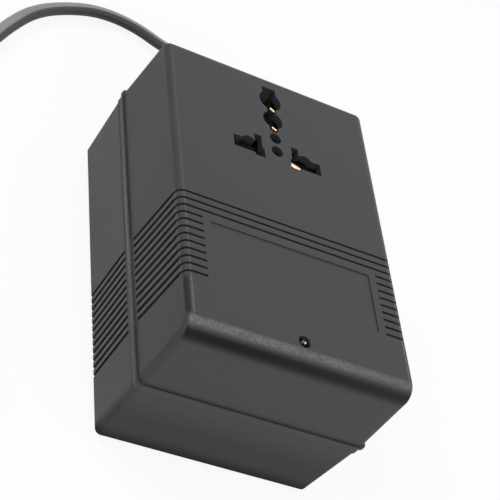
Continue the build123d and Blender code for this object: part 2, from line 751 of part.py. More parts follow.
def make_live_contact(side, spot):
    """A brass contact for a bar, blade or round pin, with its solder tab."""
    start = min(side * CONTACT_INNER_X, side * CONTACT_OUTER_X)
    profile = [(PIN_LINE_Y - CONTACT_RISE + u, v) for u, v in contact_profile()]
    face = Plane.YZ.offset(start) * Polygon(*profile, align=None)
    body = extrude(face, CONTACT_OUTER_X - CONTACT_INNER_X)
    return body + tab_cutter(*spot, 0)


def make_earth_contact(spot):
    """A brass contact for a bar or round earth pin, with its solder tab."""
    far = PIN_LINE_Y + EARTH_CONTACT_FAR
    face = Plane.XZ.offset(-far) * Polygon(*contact_profile(), align=None)
    body = extrude(face, EARTH_CONTACT_FAR - EARTH_CONTACT_NEAR)
    return body + tab_cutter(*spot, 0)


keep("socket_carrier", make_carrier())
keep("neutral_contact", make_live_contact(-1, TAB_SPOTS[0]))
keep("line_contact", make_live_contact(1, TAB_SPOTS[1]))
keep("earth_contact", make_earth_contact(TAB_SPOTS[2]))
ear_low = EAR_TOP - EAR_THICK
keep(
    "carrier_screws",
    *[screw(sx * EAR_X, y, ear_low, EAR_TOP + SCREW_BITE) for sx in SIDES for y in EAR_YS],
)

# Transformer


def make_core():
    """The E-shaped and I-shaped stacks, met along one joint."""
    low = CORE_BOTTOM
    high = CORE_TOP
    e_stack = block(-CORE_HALF_X, CORE_HALF_X, CORE_NEAR, CORE_JOINT, low, high)
    for side in SIDES:
        start = side * CORE_UNIT
        end = side * 2 * CORE_UNIT
        window_near = CORE_NEAR + CORE_UNIT
        e_stack -= block(min(start, end), max(start, end), window_near, CORE_JOINT, low, high)
    i_stack = block(-CORE_HALF_X, CORE_HALF_X, CORE_JOINT, CORE_FAR, low, high)
    for x, y in CORE_HOLES:
        hole = rod(x, y, low, high, SCREW_RADIUS + SCREW_CLEARANCE)
        e_stack -= hole
        i_stack -= hole
    return e_stack, i_stack


def sleeve_block(grow, near, far):
    """A block round the middle leg's space, larger by one amount all round."""
    outline = RectangleRounded(2 * (LEG_HALF_X + grow), 2 * (LEG_HALF_Z + grow), grow)
    return extrude(Plane.XZ.offset(-far) * Pos(0, CORE_Z) * outline, far - near)


def ring(grow_in, grow_out, near, far):
    """A winding or former that goes round the middle leg."""
    return sleeve_block(grow_out, near, far) - sleeve_block(grow_in, near, far)


def make_bobbin():
    """The former: a tube with two flanges, each with a terminal rail above the core."""
    near = CORE_Y - FLANGE_OUTER
    far = CORE_Y + FLANGE_OUTER
    half_x = CORE_UNIT * 2 - WINDOW_GAP
    half_z = COIL_TOP - CORE_Z + FLANGE_SPARE
    body = sleeve_block(BOBBIN_WALL, near, far)
    for start in (near, far - FLANGE_THICK):
        body += block(
            -half_x, half_x, start, start + FLANGE_THICK, CORE_Z - half_z, CORE_Z + half_z
        )
    body += block(-RAIL_HALF_WIDTH, RAIL_HALF_WIDTH, far, far + RAIL_REACH, RAIL_BOTTOM, RAIL_TOP)
    body += block(-RAIL_HALF_WIDTH, RAIL_HALF_WIDTH, near - RAIL_REACH, near, RAIL_BOTTOM, RAIL_TOP)
    body -= block(
        -LEG_HALF_X, LEG_HALF_X, near, far, CORE_Z - LEG_HALF_Z, CORE_Z + LEG_HALF_Z
    )
    notch = FUSE_LEAD_RADIUS + NOTCH_SPARE
    notch_top = CORE_Z + half_z
    body -= block(
        MAINS_PIN_X - notch,
        MAINS_PIN_X + notch,
        far - FLANGE_THICK,
        far,
        COIL_TOP - NOTCH_SPARE,
        notch_top,
    )
    for x, y in PIN_SPOTS:
        body -= terminal(x, y)
    return body


def terminal(x, y):
    """A square terminal pin that goes through its rail."""
    half = PIN_SQUARE / 2
    return block(x - half, x + half, y - half, y + half, RAIL_BOTTOM, PIN_TOP)


PIN_SPOTS = [(side * LAMP_PIN_X, NEAR_PIN_Y) for side in SIDES]
PIN_SPOTS += [(side * x, FAR_PIN_Y) for side in SIDES for x in (MAINS_PIN_X, OUTPUT_PIN_X)]
e_laminations, i_laminations = make_core()
keep("e_laminations", e_laminations)
keep("i_laminations", i_laminations)
keep("bobbin", make_bobbin())
keep("terminal_pins", *[terminal(x, y) for x, y in PIN_SPOTS])
coil_near = CORE_Y - FLANGE_INNER
coil_far = CORE_Y + FLANGE_INNER
primary_out = BOBBIN_WALL + PRIMARY_BUILD
secondary_out = primary_out + SECONDARY_BUILD
keep("primary_winding", ring(BOBBIN_WALL, primary_out, coil_near, coil_far))
keep("secondary_winding", ring(primary_out, secondary_out, coil_near, coil_far))
keep("winding_tape", ring(secondary_out, secondary_out + TAPE_THICK, coil_near, coil_far))
washers = []
core_screws = []
for x, y in CORE_HOLES:
    washer = rod(x, y, CORE_TOP, CORE_TOP + WASHER_THICK, WASHER_RADIUS)
    hole_radius = SCREW_RADIUS + SCREW_CLEARANCE
    washers.append(washer - rod(x, y, CORE_TOP, CORE_TOP + WASHER_THICK, hole_radius))
    core_screws.append(screw(x, y, CORE_TOP + WASHER_THICK, CORE_BOTTOM - SCREW_BITE))
keep("transformer_washers", *washers)
keep("transformer_screws", *core_screws)

# Thermal fuse and its leads
fuse_near = CORE_Y - FUSE_LENGTH / 2
fuse_far = CORE_Y + FUSE_LENGTH / 2
fuse = block(
    MAINS_PIN_X - FUSE_WIDTH / 2,
    MAINS_PIN_X + FUSE_WIDTH / 2,
    fuse_near,
    fuse_far,
    COIL_TOP,
    COIL_TOP + FUSE_THICK,
)
keep("thermal_fuse", fillet(fuse.edges().filter_by(Axis.Z), INNER_RADIUS))
fuse_lead_z = COIL_TOP + FUSE_LEAD_RADIUS
fuse_leads = []
for start, end in ((coil_near, fuse_near), (fuse_far, FAR_PIN_Y - PIN_SQUARE / 2)):
    lead = Pos(MAINS_PIN_X, (start + end) / 2, fuse_lead_z) * Rot(90, 0, 0)
    fuse_leads.append(lead * Cylinder(FUSE_LEAD_RADIUS, end - start))
keep("fuse_leads", *fuse_leads)

# Power lamp, its resistor and its leads
rim_low = CEILING - LAMP_RIM_THICK
lamp = rod(0, LAMP_Y, rim_low, CEILING, LAMP_RIM_RADIUS)
lamp += rod(0, LAMP_Y, CEILING, TOP + LAMP_PROUD - LAMP_RADIUS, LAMP_RADIUS)
lamp += Pos(0, LAMP_Y, TOP + LAMP_PROUD - LAMP_RADIUS) * Sphere(LAMP_RADIUS)
leg_low = rim_low - LEG_LENGTH
for side in SIDES:
    leg_x = side * LEG_SPACING / 2
    half = LEG_SQUARE / 2
    lamp += block(leg_x - half, leg_x + half, LAMP_Y - half, LAMP_Y + half, leg_low, rim_low)
keep("indicator_lamp", lamp)
resistor_low = leg_low - RESISTOR_LENGTH
resistor = rod(LEG_SPACING / 2, LAMP_Y, resistor_low, leg_low, RESISTOR_RADIUS)
keep("lamp_resistor", fillet(resistor.edges().filter_by(GeomType.CIRCLE), RESISTOR_RADIUS / 2))
lamp_leads = []
for side, start in ((-1, leg_low), (1, resistor_low)):
    x = side * LEG_SPACING / 2
    pin_x = side * LAMP_PIN_X
    lamp_leads.append(
        wire_tube(
            [
                (x, LAMP_Y, start),
                (x, LAMP_Y, LAMP_LEAD_Z),
                (pin_x, LAMP_LEAD_Y, LAMP_LEAD_Z),
                (pin_x, LAMP_LEAD_Y, PIN_TOP - LAMP_LEAD_DOWN),
                (pin_x, NEAR_PIN_Y - PIN_SQUARE / 2, PIN_TOP - LAMP_LEAD_DOWN),
            ],
            LAMP_LEAD_RADIUS,
            LAMP_LEAD_BEND,
        )
    )
keep("lamp_leads", *lamp_leads)

# Output leads from the transformer to the outlet's contacts
output_leads = []
for side in SIDES:
    x = side * OUTPUT_PIN_X
    tab_y = PIN_LINE_Y - CONTACT_RISE
    tab_low = CARRIER_BOTTOM - TAB_DROP
    output_leads.append(
        wire_tube(
            [
                (x, tab_y, tab_low),
                (x, tab_y, tab_low - OUTPUT_LEAD_DROP),
                (x, OUTPUT_LEAD_Y, tab_low - OUTPUT_LEAD_DROP),
                (x, OUTPUT_LEAD_Y, PIN_TOP - OUTPUT_LEAD_DOWN),
                (x, FAR_PIN_Y + PIN_SQUARE / 2, PIN_TOP - OUTPUT_LEAD_DOWN),
            ],
            LEAD_RADIUS,
            LEAD_BEND,
        )
    )
keep("output_leads", *output_leads)

# Mains cores from the end of the cord's sheath to the transformer
for node, side, turn_y, join_y in (
    ("live_core", 1, LIVE_TURN_Y, LIVE_JOIN_Y),
    ("neutral_core", -1, NEUTRAL_TURN_Y, NEUTRAL_JOIN_Y),
):
    x = CORD_X + side * CORE_SPREAD
    pin_x = side * MAINS_PIN_X
    core = wire_tube(
        [
            (x, JACKET_END_Y, CORD_Z),
            (x, turn_y, CORD_Z),
            (pin_x, join_y, CORD_Z),
            (pin_x, MAINS_LEAD_Y, CORD_Z),
            (pin_x, MAINS_LEAD_Y, PIN_TOP - MAINS_LEAD_DOWN),
            (pin_x, FAR_PIN_Y + PIN_SQUARE / 2, PIN_TOP - MAINS_LEAD_DOWN),
        ],
        LEAD_RADIUS,
        LEAD_BEND,
    )
    keep(node, core)

# Cord where it enters the case, its boot and its clamp


def cord_section(width, thick):
    """The cord's flat section, or a bore around it."""
    return SlotOverall(width, thick)


def along_y(section, start, end):
    """A straight piece of cord or boot from one distance out to another."""
    return extrude(Plane.XZ.offset(-end) * Pos(CORD_X, CORD_Z) * section, end - start)


def make_boot():
    """The rubber strain relief: a flange on each side of the wall and a slit, tapered sleeve."""
    corner = BOOT_HEIGHT / 2 - INNER_RADIUS
    outside = HALF_Y - BAND_PROUD
    inside = INNER_Y - BASE_DRAFT_Y
    neck = RectangleRounded(
        BOOT_WIDTH - BOOT_CLEARANCE, BOOT_HEIGHT - BOOT_CLEARANCE, corner - BOOT_CLEARANCE
    )
    flange = RectangleRounded(
        BOOT_WIDTH + 2 * BOOT_FLANGE_PROUD,
        BOOT_HEIGHT + 2 * BOOT_FLANGE_PROUD,
        corner + BOOT_FLANGE_PROUD,
    )
    body = along_y(neck, inside - BOOT_FLANGE_THICK, outside + BOOT_FLANGE_THICK)
    body += along_y(flange, outside, outside + BOOT_FLANGE_THICK)
    body += along_y(flange, inside - BOOT_FLANGE_THICK, inside)
    tip_wide = CORD_WIDTH + 2 * BOOT_TIP_WALL
    tip_high = CORD_THICK + 2 * BOOT_TIP_WALL
    wide = RectangleRounded(BOOT_WIDTH, BOOT_HEIGHT, corner)
    slim = RectangleRounded(tip_wide, tip_high, tip_high / 2 - INNER_RADIUS)
    place = Pos(CORD_X, CORD_Z)
    root = outside + BOOT_FLANGE_THICK
    start_face = Plane.XZ.offset(-root) * place * wide
    tip_face = Plane.XZ.offset(-BOOT_TIP_Y) * place * slim
    body += loft([start_face, tip_face])
    for index in range(BOOT_SLITS):
        start = root + BOOT_FIRST_SLIT - BOOT_SLIT_WIDTH + index * BOOT_SLIT_PITCH
        share = (start - root) / (BOOT_TIP_Y - root)
        width = BOOT_WIDTH + share * (tip_wide - BOOT_WIDTH) - 2 * BOOT_SLIT_DEPTH
        height = BOOT_HEIGHT + share * (tip_high - BOOT_HEIGHT) - 2 * BOOT_SLIT_DEPTH
        hoop = Rectangle(2 * BOOT_WIDTH, 2 * BOOT_WIDTH)
        hoop -= RectangleRounded(width, height, height / 2 - INNER_RADIUS)
        body -= along_y(hoop, start, start + BOOT_SLIT_WIDTH)
    bore = cord_section(CORD_WIDTH + 2 * CORD_CLEARANCE, CORD_THICK + 2 * CORD_CLEARANCE)
    return body - along_y(bore, inside - BOOT_FLANGE_THICK, BOOT_TIP_Y)


def make_clamp():
    """The bar that is screwed down over the cord."""
    low = CORD_Z + CORD_THICK / 2
    bar = block(
        CORD_X - CLAMP_HALF_WIDTH,
        CORD_X + CLAMP_HALF_WIDTH,
        CLAMP_Y - CLAMP_HALF_LENGTH,
        CLAMP_Y + CLAMP_HALF_LENGTH,
        low,
        low + CLAMP_THICK,
    )
    bar = fillet(bar.edges().filter_by(Axis.Z), CLAMP_HALF_LENGTH - INNER_RADIUS)
    for side in SIDES:
        place = (CORD_X + side * CLAMP_SCREW_X, CLAMP_Y)
        bar -= rod(*place, low, low + CLAMP_THICK, SCREW_RADIUS + SCREW_CLEARANCE)
    return bar


keep("strain_relief", make_boot())
tail = along_y(cord_section(CORD_WIDTH, CORD_THICK), JACKET_END_Y, BOOT_TIP_Y)
keep("cord_tail", tail)
keep("cord_clamp", make_clamp())
clamp_top = CORD_Z + CORD_THICK / 2 + CLAMP_THICK
clamp_tip = CORD_Z + CORD_THICK / 2 - CLAMP_GAP - CLAMP_BITE
keep(
    "clamp_screws",
    *[screw(CORD_X + side * CLAMP_SCREW_X, CLAMP_Y, clamp_top, clamp_tip) for side in SIDES],
)

# Free stretch of the cord


def corner_radii(points, share):
    """The largest arc radius that each corner's shorter run allows."""
    radii = []
    for before, corner, after in zip(points, points[1:], points[2:]):
        a = Vector(*corner) - Vector(*before)
        b = Vector(*after) - Vector(*corner)
        half = math.radians(a.get_angle(b)) / 2
        radii.append(share * min(a.length, b.length) / math.tan(half))
    return radii


def cord_tube(node, points):
    """A length of cord along straight runs joined by arcs, with its figures printed."""
    radii = corner_radii(points, CORNER_SHARE)
    path = FilletPolyline(*points, radius=radii)
    start = Plane(origin=points[0], z_dir=Vector(*points[1]) - Vector(*points[0]))
    tube = sweep(start * Circle(CORD_RADIUS), path)
    section = math.pi * CORD_RADIUS**2
    runs = [(Vector(*b) - Vector(*a)).length for a, b in zip(points, points[1:])]
    print(node, "radii", [round(r, 1) for r in radii], "runs", [round(r, 1) for r in runs])
    print(node, "volume share", round(tube.volume / (section * path.length), 4))
    print(node, "length", round(path.length, 1))
    keep(node, tube)


route = [(CORD_X, BOOT_TIP_Y, CORD_Z)] + CORD_ROUTE
route.append((CORD_ROUTE[-1][0], COIL_START_Y + CORD_WIDTH, CORD_ROUTE[-1][2]))
cord_tube("power_cord", route)

# Put-away coil: half turns inward, one half turn that climbs a layer, half turns outward


def coil_sides():
    """The distance of each crossing of the middle line from the coil's centre, and its height."""
    step = COIL_PITCH / 2
    reach = [(COIL_OUTER_RADIUS, 0.0)]
    for index in range(COIL_LEVELS_HALF_TURNS):
        extra = COIL_TURN_IN if index == COIL_LEVELS_HALF_TURNS - 1 else 0.0
        reach.append((reach[-1][0] - step - extra, 0.0))
    reach.append((reach[-1][0], COIL_PITCH))
    for index in range(COIL_LEVELS_HALF_TURNS + 1):
        extra = COIL_TURN_IN if index == 0 else 0.0
        reach.append((reach[-1][0] + step + extra, COIL_PITCH))
    return reach


def coil_path():
    """The line of the put-away cord, with a straight of one diameter at each end."""
    sides = coil_sides()
    spots = []
    for index, (reach, rise) in enumerate(sides):
        way = 1 if index % 2 == 0 else -1
        spots.append(Vector(COIL_X + way * reach, COIL_Y, COIL_Z + rise))
    edges = [Line(spots[0] + Vector(0, CORD_WIDTH, 0), spots[0])]
    for index in range(len(spots) - 1):
        a = spots[index]
        b = spots[index + 1]
        turn = -1 if index % 2 == 0 else 1
        half = (b - a).length / 2
        middle = (a + b) * 0.5 + Vector(0, turn * half, 0)
        edges.append(ThreePointArc(a, middle, b))
    edges.append(Line(spots[-1], spots[-1] - Vector(0, CORD_WIDTH, 0)))
    return Wire([e.edge() for e in edges]), spots


def least_gap(path):
    """The least clear distance between two turns, on points along the line."""
    count = int(path.length / SAMPLE)
    spots = [path.position_at(i / count) for i in range(count + 1)]
    apart = int(math.pi * CORD_WIDTH / SAMPLE)
    best = path.length
    for i in range(len(spots)):
        for j in range(i + apart, len(spots)):
            best = min(best, (spots[i] - spots[j]).length)
    return best - CORD_WIDTH


coil_line, coil_spots = coil_path()
coil_start = Plane(origin=coil_line.position_at(0), z_dir=coil_line.tangent_at(0))
coil = sweep(coil_start * Circle(CORD_RADIUS), coil_line)
coil_share = coil.volume / (math.pi * CORD_RADIUS**2 * coil_line.length)
print("coil length", round(coil_line.length, 1), "volume share", round(coil_share, 4))
print("coil gap", round(least_gap(coil_line), 3))
keep("cord_coil", coil)

# Tie round all the turns on the far side of the coil
tie_outer_x = COIL_X - COIL_OUTER_RADIUS - CORD_RADIUS - TIE_GAP
tie_inner_x = COIL_X - min(reach for reach, rise in coil_sides()) + CORD_RADIUS + TIE_SPARE
tie_low = COIL_Z - CORD_RADIUS - TIE_GAP
tie_high = COIL_Z + COIL_PITCH + CORD_RADIUS + TIE_GAP
tie_place = Pos((tie_outer_x + tie_inner_x) / 2, (tie_low + tie_high) / 2)
tie_hole = RectangleRounded(tie_inner_x - tie_outer_x, tie_high - tie_low, TIE_CORNER)
tie_band = RectangleRounded(
    tie_inner_x - tie_outer_x + 2 * TIE_THICK,
    tie_high - tie_low + 2 * TIE_THICK,
    TIE_CORNER + TIE_THICK,
)
tie_plane = Plane.XZ.offset(-(COIL_Y + TIE_WIDTH / 2))
keep("coil_tie", extrude(tie_plane * tie_place * (tie_band - tie_hole), TIE_WIDTH))

# Lead from the coil to the plug
lead_x = coil_spots[-1].X
lead_points = [(lead_x, coil_spots[-1].Y - CORD_WIDTH, coil_spots[-1].Z)]
PLUG_Z = PLUG_THICK / 2
plug_fall = lead_points[0][2] - PLUG_Z
for share in PLUG_LEAD_FALL_SHARES:
    x, y, z = lead_points[-1]
    lead_points.append((x, y - PLUG_LEAD_RUN, z - share * plug_fall))
plug_y = lead_points[-1][1]
cord_tube("plug_lead", lead_points)

# Two-pin plug, lying flat


def make_plug_body():
    """The plug's moulded body with its tapered boot."""
    rear = plug_y - PLUG_BOOT_LENGTH
    front = rear - PLUG_DEPTH
    waist = front + PLUG_FRONT_DEPTH
    wide = PLUG_WIDTH / 2
    slim = PLUG_REAR_WIDTH / 2
    right = [(wide, front), (wide, waist), (slim, rear)]
    outline = Polygon(*right, *[(-x, y) for x, y in right[::-1]], align=None)
    body = extrude(outline, PLUG_THICK)
    body = fillet(body.edges().filter_by(Axis.Z), PLUG_EDGE_RADIUS)
    body = fillet(
        body.edges().group_by(Axis.Z)[0] + body.edges().group_by(Axis.Z)[-1], PLUG_EDGE_RADIUS
    )
    body = Pos(lead_x, 0, 0) * body
    place = Pos(lead_x, PLUG_Z)
    root = RectangleRounded(PLUG_BOOT_WIDTH, PLUG_BOOT_HEIGHT, PLUG_EDGE_RADIUS)
    tip = RectangleRounded(PLUG_BOOT_TIP, PLUG_BOOT_TIP, PLUG_EDGE_RADIUS)
    low = Plane.XZ.offset(-(rear - PLUG_EDGE_RADIUS)) * place * root
    high = Plane.XZ.offset(-plug_y) * place * tip
    body += loft([low, high])
    for side in SIDES:
        hole = Pos(lead_x + side * PLUG_PIN_SPACING / 2, front + PLUG_PIN_ROOT / 2, PLUG_Z)
        body -= hole * Rot(90, 0, 0) * Cylinder(PIN_NECK_RADIUS, PLUG_PIN_ROOT)
    return body, front


def make_plug_pin(x, front):
    """A brass pin with a thinner neck for its sleeve."""
    neck = PLUG_PIN_ROOT + SLEEVE_LENGTH
    place = Pos(x, front + PLUG_PIN_ROOT - neck / 2, PLUG_Z) * Rot(90, 0, 0)
    pin = place * Cylinder(PIN_NECK_RADIUS, neck)
    bare = PLUG_PIN_LENGTH - SLEEVE_LENGTH
    tip = Pos(x, front - SLEEVE_LENGTH - bare / 2, PLUG_Z) * Rot(90, 0, 0)
    end = tip * Cylinder(PLUG_PIN_RADIUS, bare)
    return pin + fillet(end.edges().sort_by(Axis.Y)[0], PIN_TIP_RADIUS)


def make_sleeve(x, front):
    """The insulating sleeve on a pin's neck."""
    place = Pos(x, front - SLEEVE_LENGTH / 2, PLUG_Z) * Rot(90, 0, 0)
    bore = Cylinder(PIN_NECK_RADIUS, SLEEVE_LENGTH)
    return place * (Cylinder(SLEEVE_RADIUS, SLEEVE_LENGTH) - bore)


plug_body, plug_front = make_plug_body()
keep("plug_body", plug_body)
pin_xs = [lead_x + side * PLUG_PIN_SPACING / 2 for side in SIDES]
keep("plug_pins", *[make_plug_pin(x, plug_front) for x in pin_xs])
keep("plug_sleeves", *[make_sleeve(x, plug_front) for x in pin_xs])
print("plug pins", [round(x, 3) for x in pin_xs], "front", round(plug_front, 3), "z", PLUG_Z)

os.makedirs("parts", exist_ok=True)
for node, shape in made.items():
    export_step(shape, "parts/" + node + ".step")
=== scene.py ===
import math

import bmesh
import bpy
from mathutils import Matrix, Vector


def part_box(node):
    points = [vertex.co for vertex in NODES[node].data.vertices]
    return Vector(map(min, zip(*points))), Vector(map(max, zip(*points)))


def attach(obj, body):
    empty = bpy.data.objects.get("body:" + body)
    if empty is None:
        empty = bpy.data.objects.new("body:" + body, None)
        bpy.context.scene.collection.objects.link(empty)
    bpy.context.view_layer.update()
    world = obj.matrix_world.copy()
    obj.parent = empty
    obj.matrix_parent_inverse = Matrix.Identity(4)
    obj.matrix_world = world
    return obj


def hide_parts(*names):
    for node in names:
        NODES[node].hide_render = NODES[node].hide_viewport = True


bl_info = {
    "name": "Travel Voltage Converter",
    "version": (1, 0, 0),
    "blender": (4, 5, 0),
    "location": "View3D > Sidebar > Converter",
    "description": "Finishes the case, outlet, inside, cord and plug of a travel voltage converter",
    "category": "Add Mesh",
}

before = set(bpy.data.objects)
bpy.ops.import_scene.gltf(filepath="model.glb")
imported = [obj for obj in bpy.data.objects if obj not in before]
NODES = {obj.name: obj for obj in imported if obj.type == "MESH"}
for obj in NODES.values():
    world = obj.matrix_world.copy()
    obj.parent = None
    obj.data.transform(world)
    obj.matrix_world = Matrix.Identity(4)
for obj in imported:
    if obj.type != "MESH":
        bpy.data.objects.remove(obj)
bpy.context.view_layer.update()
COVER_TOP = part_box("cover")[1][2]

# Forms of the case that its finish follows, in metres
TOP_HALF_WIDTH = 0.03475
TOP_HALF_LENGTH = 0.0519
SIDE_ROUND = 0.0023
SIDE_ROUND_X = TOP_HALF_WIDTH - SIDE_ROUND
SIDE_ROUND_Z = COVER_TOP - SIDE_ROUND
NEAR_ROUND = 0.005
NEAR_ROUND_Y = NEAR_ROUND - TOP_HALF_LENGTH
NEAR_ROUND_Z = COVER_TOP - NEAR_ROUND
RIBS_Y = (-0.0348, -0.006)
RIBS_OUTER_X = 0.0335
RIBS_SHALLOW_Z = 0.0506
OUTLET_HALF_WIDTH = 0.0162
OUTLET_Y = (0.0155, 0.0485)
OUTLET_SHADE_Z = 0.05272
BASE_FOOT_X = 0.03343
BASE_LEAN = 0.0528
BASE_SIDE_X = 0.0343
BASE_FRONT_Y = -0.0497
BASE_RIBS_Z = (0.0017, 0.02385)
BASE_RIM_Z = (0.0256, 0.0267)
BASE_CREASE_Z = (0.0241, 0.025)
JOINT_Z = 0.02688
LAMP_Y = -0.0455

# How softly a change of finish starts, in metres
FINE = 0.0001
CRISP = 0.0002
SOFT = 0.0003

# Bands of painted highlight and painted shade round the cover's top edges, down from its top face:
# start, end and softness
NEAR_HIGHLIGHT = (0.001, 0.0032, 0.0008)
NEAR_SHADE_START = (0.0042, 0.0009)
NEAR_SHADE_END = (0.0078, 0.002)
SIDE_TOP_HIGHLIGHT = (0.0002, 0.0007, 0.0002)
SIDE_SHADE = (0.0011, 0.0026, 0.0004)
SIDE_LOW_HIGHLIGHT = (0.003, 0.0034, 0.0002)

# Route of the free cord, the same points as in the part's source
CORD_ROUTE = [
    (12.0, 75.15, 14.0),
    (12.0, 84.5, 14.0),
    (10.8, 95.8, 10.7),
    (5.7, 105.4, 6.5),
    (-2.9, 112.6, 3.0),
    (-14.2, 118.2, 2.7),
    (-27.6, 118.9, 2.7),
    (-40.7, 113.8, 2.7),
    (-52.6, 105.9, 2.7),
    (-61.3, 94.7, 2.7),
    (-68.7, 82.6, 2.7),
    (-75.2, 71.9, 2.8),
    (-81.3, 60.9, 3.0),
    (-86.2, 51.6, 3.3),
    (-89.2, 43.0, 3.4),
    (-90.0, 35.0, 3.5),
]
COIL_START_Y = 21.8
COIL_PITCH = 5.9
COIL_TURN_IN = 1.0
COIL_OUTER_RADIUS = 36.5
COIL_LEVEL_HALF_TURNS = 6
COIL_STEPS = 9
# Straight stretch between the coil and what it joins
COIL_STRAIGHT = 5.4
COIL_END_RUN = 1.0

# Rolled tips of the contact fingers: two ends, height and radius
LIPS = [
    ((4.8, 18.65), (7.3, 17.85), 52.3, 0.66),
    ((-14.35, 18.1), (-13.3, 18.1), 52.5, 0.2),
    ((0.15, 39.1), (1.15, 38.45), 52.45, 0.4),
    ((-0.05, 31.2), (0.95, 30.6), 52.45, 0.36),
]
LIP_FOOT = 49.3
LIP_HALF_THICK = 0.22

# The lamp's two painted highlights on its lens: place, radius and paleness
LAMP_HIGHLIGHTS = [
    (-0.00045, LAMP_Y - 0.00095, 0.00021, 0.9),
    (-0.001, LAMP_Y - 0.0006, 0.00024, 0.28),
]
# How the lead comes down from the coil to the plug: run, and share of the fall
PLUG_FALL = [(6.5, 0.0), (13.0, 0.48), (19.5, 1.0), (26.0, 1.0)]
PLUG_Z = 6.85

# Where the flat cord leans and then stands on its edge: start and length in metres
CORD_LEANS = (0.002, 0.034)
CORD_STANDS = (0.125, 0.045)
CORD_LEAN_SHARE = 0.21

# The studio: each light's place, size and power, and the camera
LIGHT_TARGET = (0, 0, 0.03)
LIGHTS = [
    ("key_light", (-0.9, 0.5, 1.1), 0.7, 6.2),
    ("front_light", (0.0, -1.2, 0.9), 0.6, 6.0),
    ("top_light", (0.3, 0.1, 1.5), 0.9, 1.0),
]
CAMERA_PLACE = (-196.7, -271.9, 297.8)
CAMERA_RIGHT = (0.8741, -0.0377, 0.4843)
CAMERA_AHEAD = (0.3768, 0.6819, -0.6269)
CAMERA_SENSOR = 36.0
CAMERA_LENS = 108.18
CAMERA_SHIFT = (0.2426, -0.1652)


# Shader maths


class Socket:
    """A shader value that can be used in plain expressions."""

    def __init__(self, graph, socket):
        self.graph = graph
        self.socket = socket

    def maths(self, operation, *values):
        node = self.graph.node("ShaderNodeMath", {"operation": operation}, *values)
        return node.out("Value")

    def __add__(self, other):
        return self.maths("ADD", self, other)

    def __sub__(self, other):
        return self.maths("SUBTRACT", self, other)

    def __mul__(self, other):
        return self.maths("MULTIPLY", self, other)

    def __truediv__(self, other):
        return self.maths("DIVIDE", self, other)

    def __rsub__(self, other):
        return self.maths("SUBTRACT", other, self)

    __radd__ = __add__

    def at_least(self, low):
        return self.maths("MAXIMUM", self, low)

    def at_most(self, high):
        return self.maths("MINIMUM", self, high)

    def clamp(self, low, high):
        return self.at_least(low).at_most(high)

    def size(self):
        return self.maths("ABSOLUTE", self)

    def root(self):
        return self.maths("SQRT", self)

    def saw(self):
        """Rises from 0 to 1 over and over."""
        return self.maths("FRACT", self)

    def step(self, edge, soft):
        """0 below the edge and 1 above it, softly."""
        settings = {"interpolation_type": "SMOOTHSTEP"}
        node = self.graph.node("ShaderNodeMapRange", settings, Value=self)
        node.put("From Min", edge - soft)
        node.put("From Max", edge + soft)
        return node.out("Result")

    def below(self, edge, soft):
        """1 below the edge and 0 above it, softly."""
        return 1 - self.step(edge, soft)

    def band(self, low, high, soft):
        """1 between two edges and 0 outside them, softly."""
        return self.step(low, soft) * self.below(high, soft)


class Node:
    """One shader node of a graph."""

    def __init__(self, graph, node):
        self.graph = graph
        self.raw = node

    def put(self, name, value):
        socket = self.raw.inputs[name]
        if isinstance(value, Socket):
            self.graph.tree.links.new(value.socket, socket)
        elif isinstance(value, tuple) and socket.type == "RGBA" and len(value) == 3:
            socket.default_value = (*value, 1)
        else:
            socket.default_value = value
        return self

    def out(self, name):
        return Socket(self.graph, self.raw.outputs[name])


class Graph:
    """The node tree of a material or of the world."""

    def __init__(self, owner):
        owner.use_nodes = True
        self.tree = owner.node_tree
        self.tree.nodes.clear()

    def node(self, kind, settings=None, *values, **named):
        raw = self.tree.nodes.new(kind)
        for name, value in (settings or {}).items():
            setattr(raw, name, value)
        made = Node(self, raw)
        for index, value in enumerate(values):
            made.put(index, value)
        for name, value in named.items():
            made.put(name.replace("_", " "), value)
        return made

    def place(self, scale=(1, 1, 1)):
        coordinates = self.node("ShaderNodeTexCoord").out("Object")
        return self.node("ShaderNodeMapping", {}, Vector=coordinates, Scale=scale).out("Vector")

    def axes(self):
        """The object's own X, Y and Z at each point."""
        coordinates = self.node("ShaderNodeTexCoord").out("Object")
        parts = self.node("ShaderNodeSeparateXYZ", {}, Vector=coordinates)
        return parts.out("X"), parts.out("Y"), parts.out("Z")

    def noise(self, scale, detail=3.0, roughness=0.5, stretch=(1, 1, 1)):
        node = self.node("ShaderNodeTexNoise", {}, Vector=self.place(stretch))
        node.put("Scale", scale).put("Detail", detail).put("Roughness", roughness)
        return node.out("Fac")

    def mix(self, factor, low, high):
        node = self.node("ShaderNodeMix", {"data_type": "RGBA"})
        node.put(0, factor).put(6, low).put(7, high)
        return Socket(self, node.raw.outputs[2])

    def bump(self, height, strength, distance):
        node = self.node("ShaderNodeBump", {}, Height=height)
        return node.put("Strength", strength).put("Distance", distance).out("Normal")

    def surface(self, **named):
        shader = self.node("ShaderNodeBsdfPrincipled", {}, **named)
        self.finish(shader.out("BSDF"))
        return shader

    def with_painted_shade(self, factor, colour, **named):
        """A plastic surface that turns matte and dark where the factor rises to 1, for painted
        shade.
        """
        shader = self.node("ShaderNodeBsdfPrincipled", {}, **named)
        matte = self.node("ShaderNodeBsdfDiffuse", {}, Color=colour)
        mix = self.node("ShaderNodeMixShader", {})
        mix.put(0, factor).put(1, shader.out("BSDF")).put(2, matte.out("BSDF"))
        self.finish(mix.out("Shader"))
        return shader

    def finish(self, shader):
        self.node("ShaderNodeOutputMaterial", {}, Surface=shader)


def new_material(name):
    material = bpy.data.materials.new(name)
    return material, Graph(material)


def shade(colour, times, plus=0.0):
    return tuple(c * times + plus for c in colour)


def round_arc(past, rise, radius, drop):
    """How far round an edge a point lies, from its top face down to its side face."""
    return past.maths("ARCTAN2", past, rise) * radius + drop


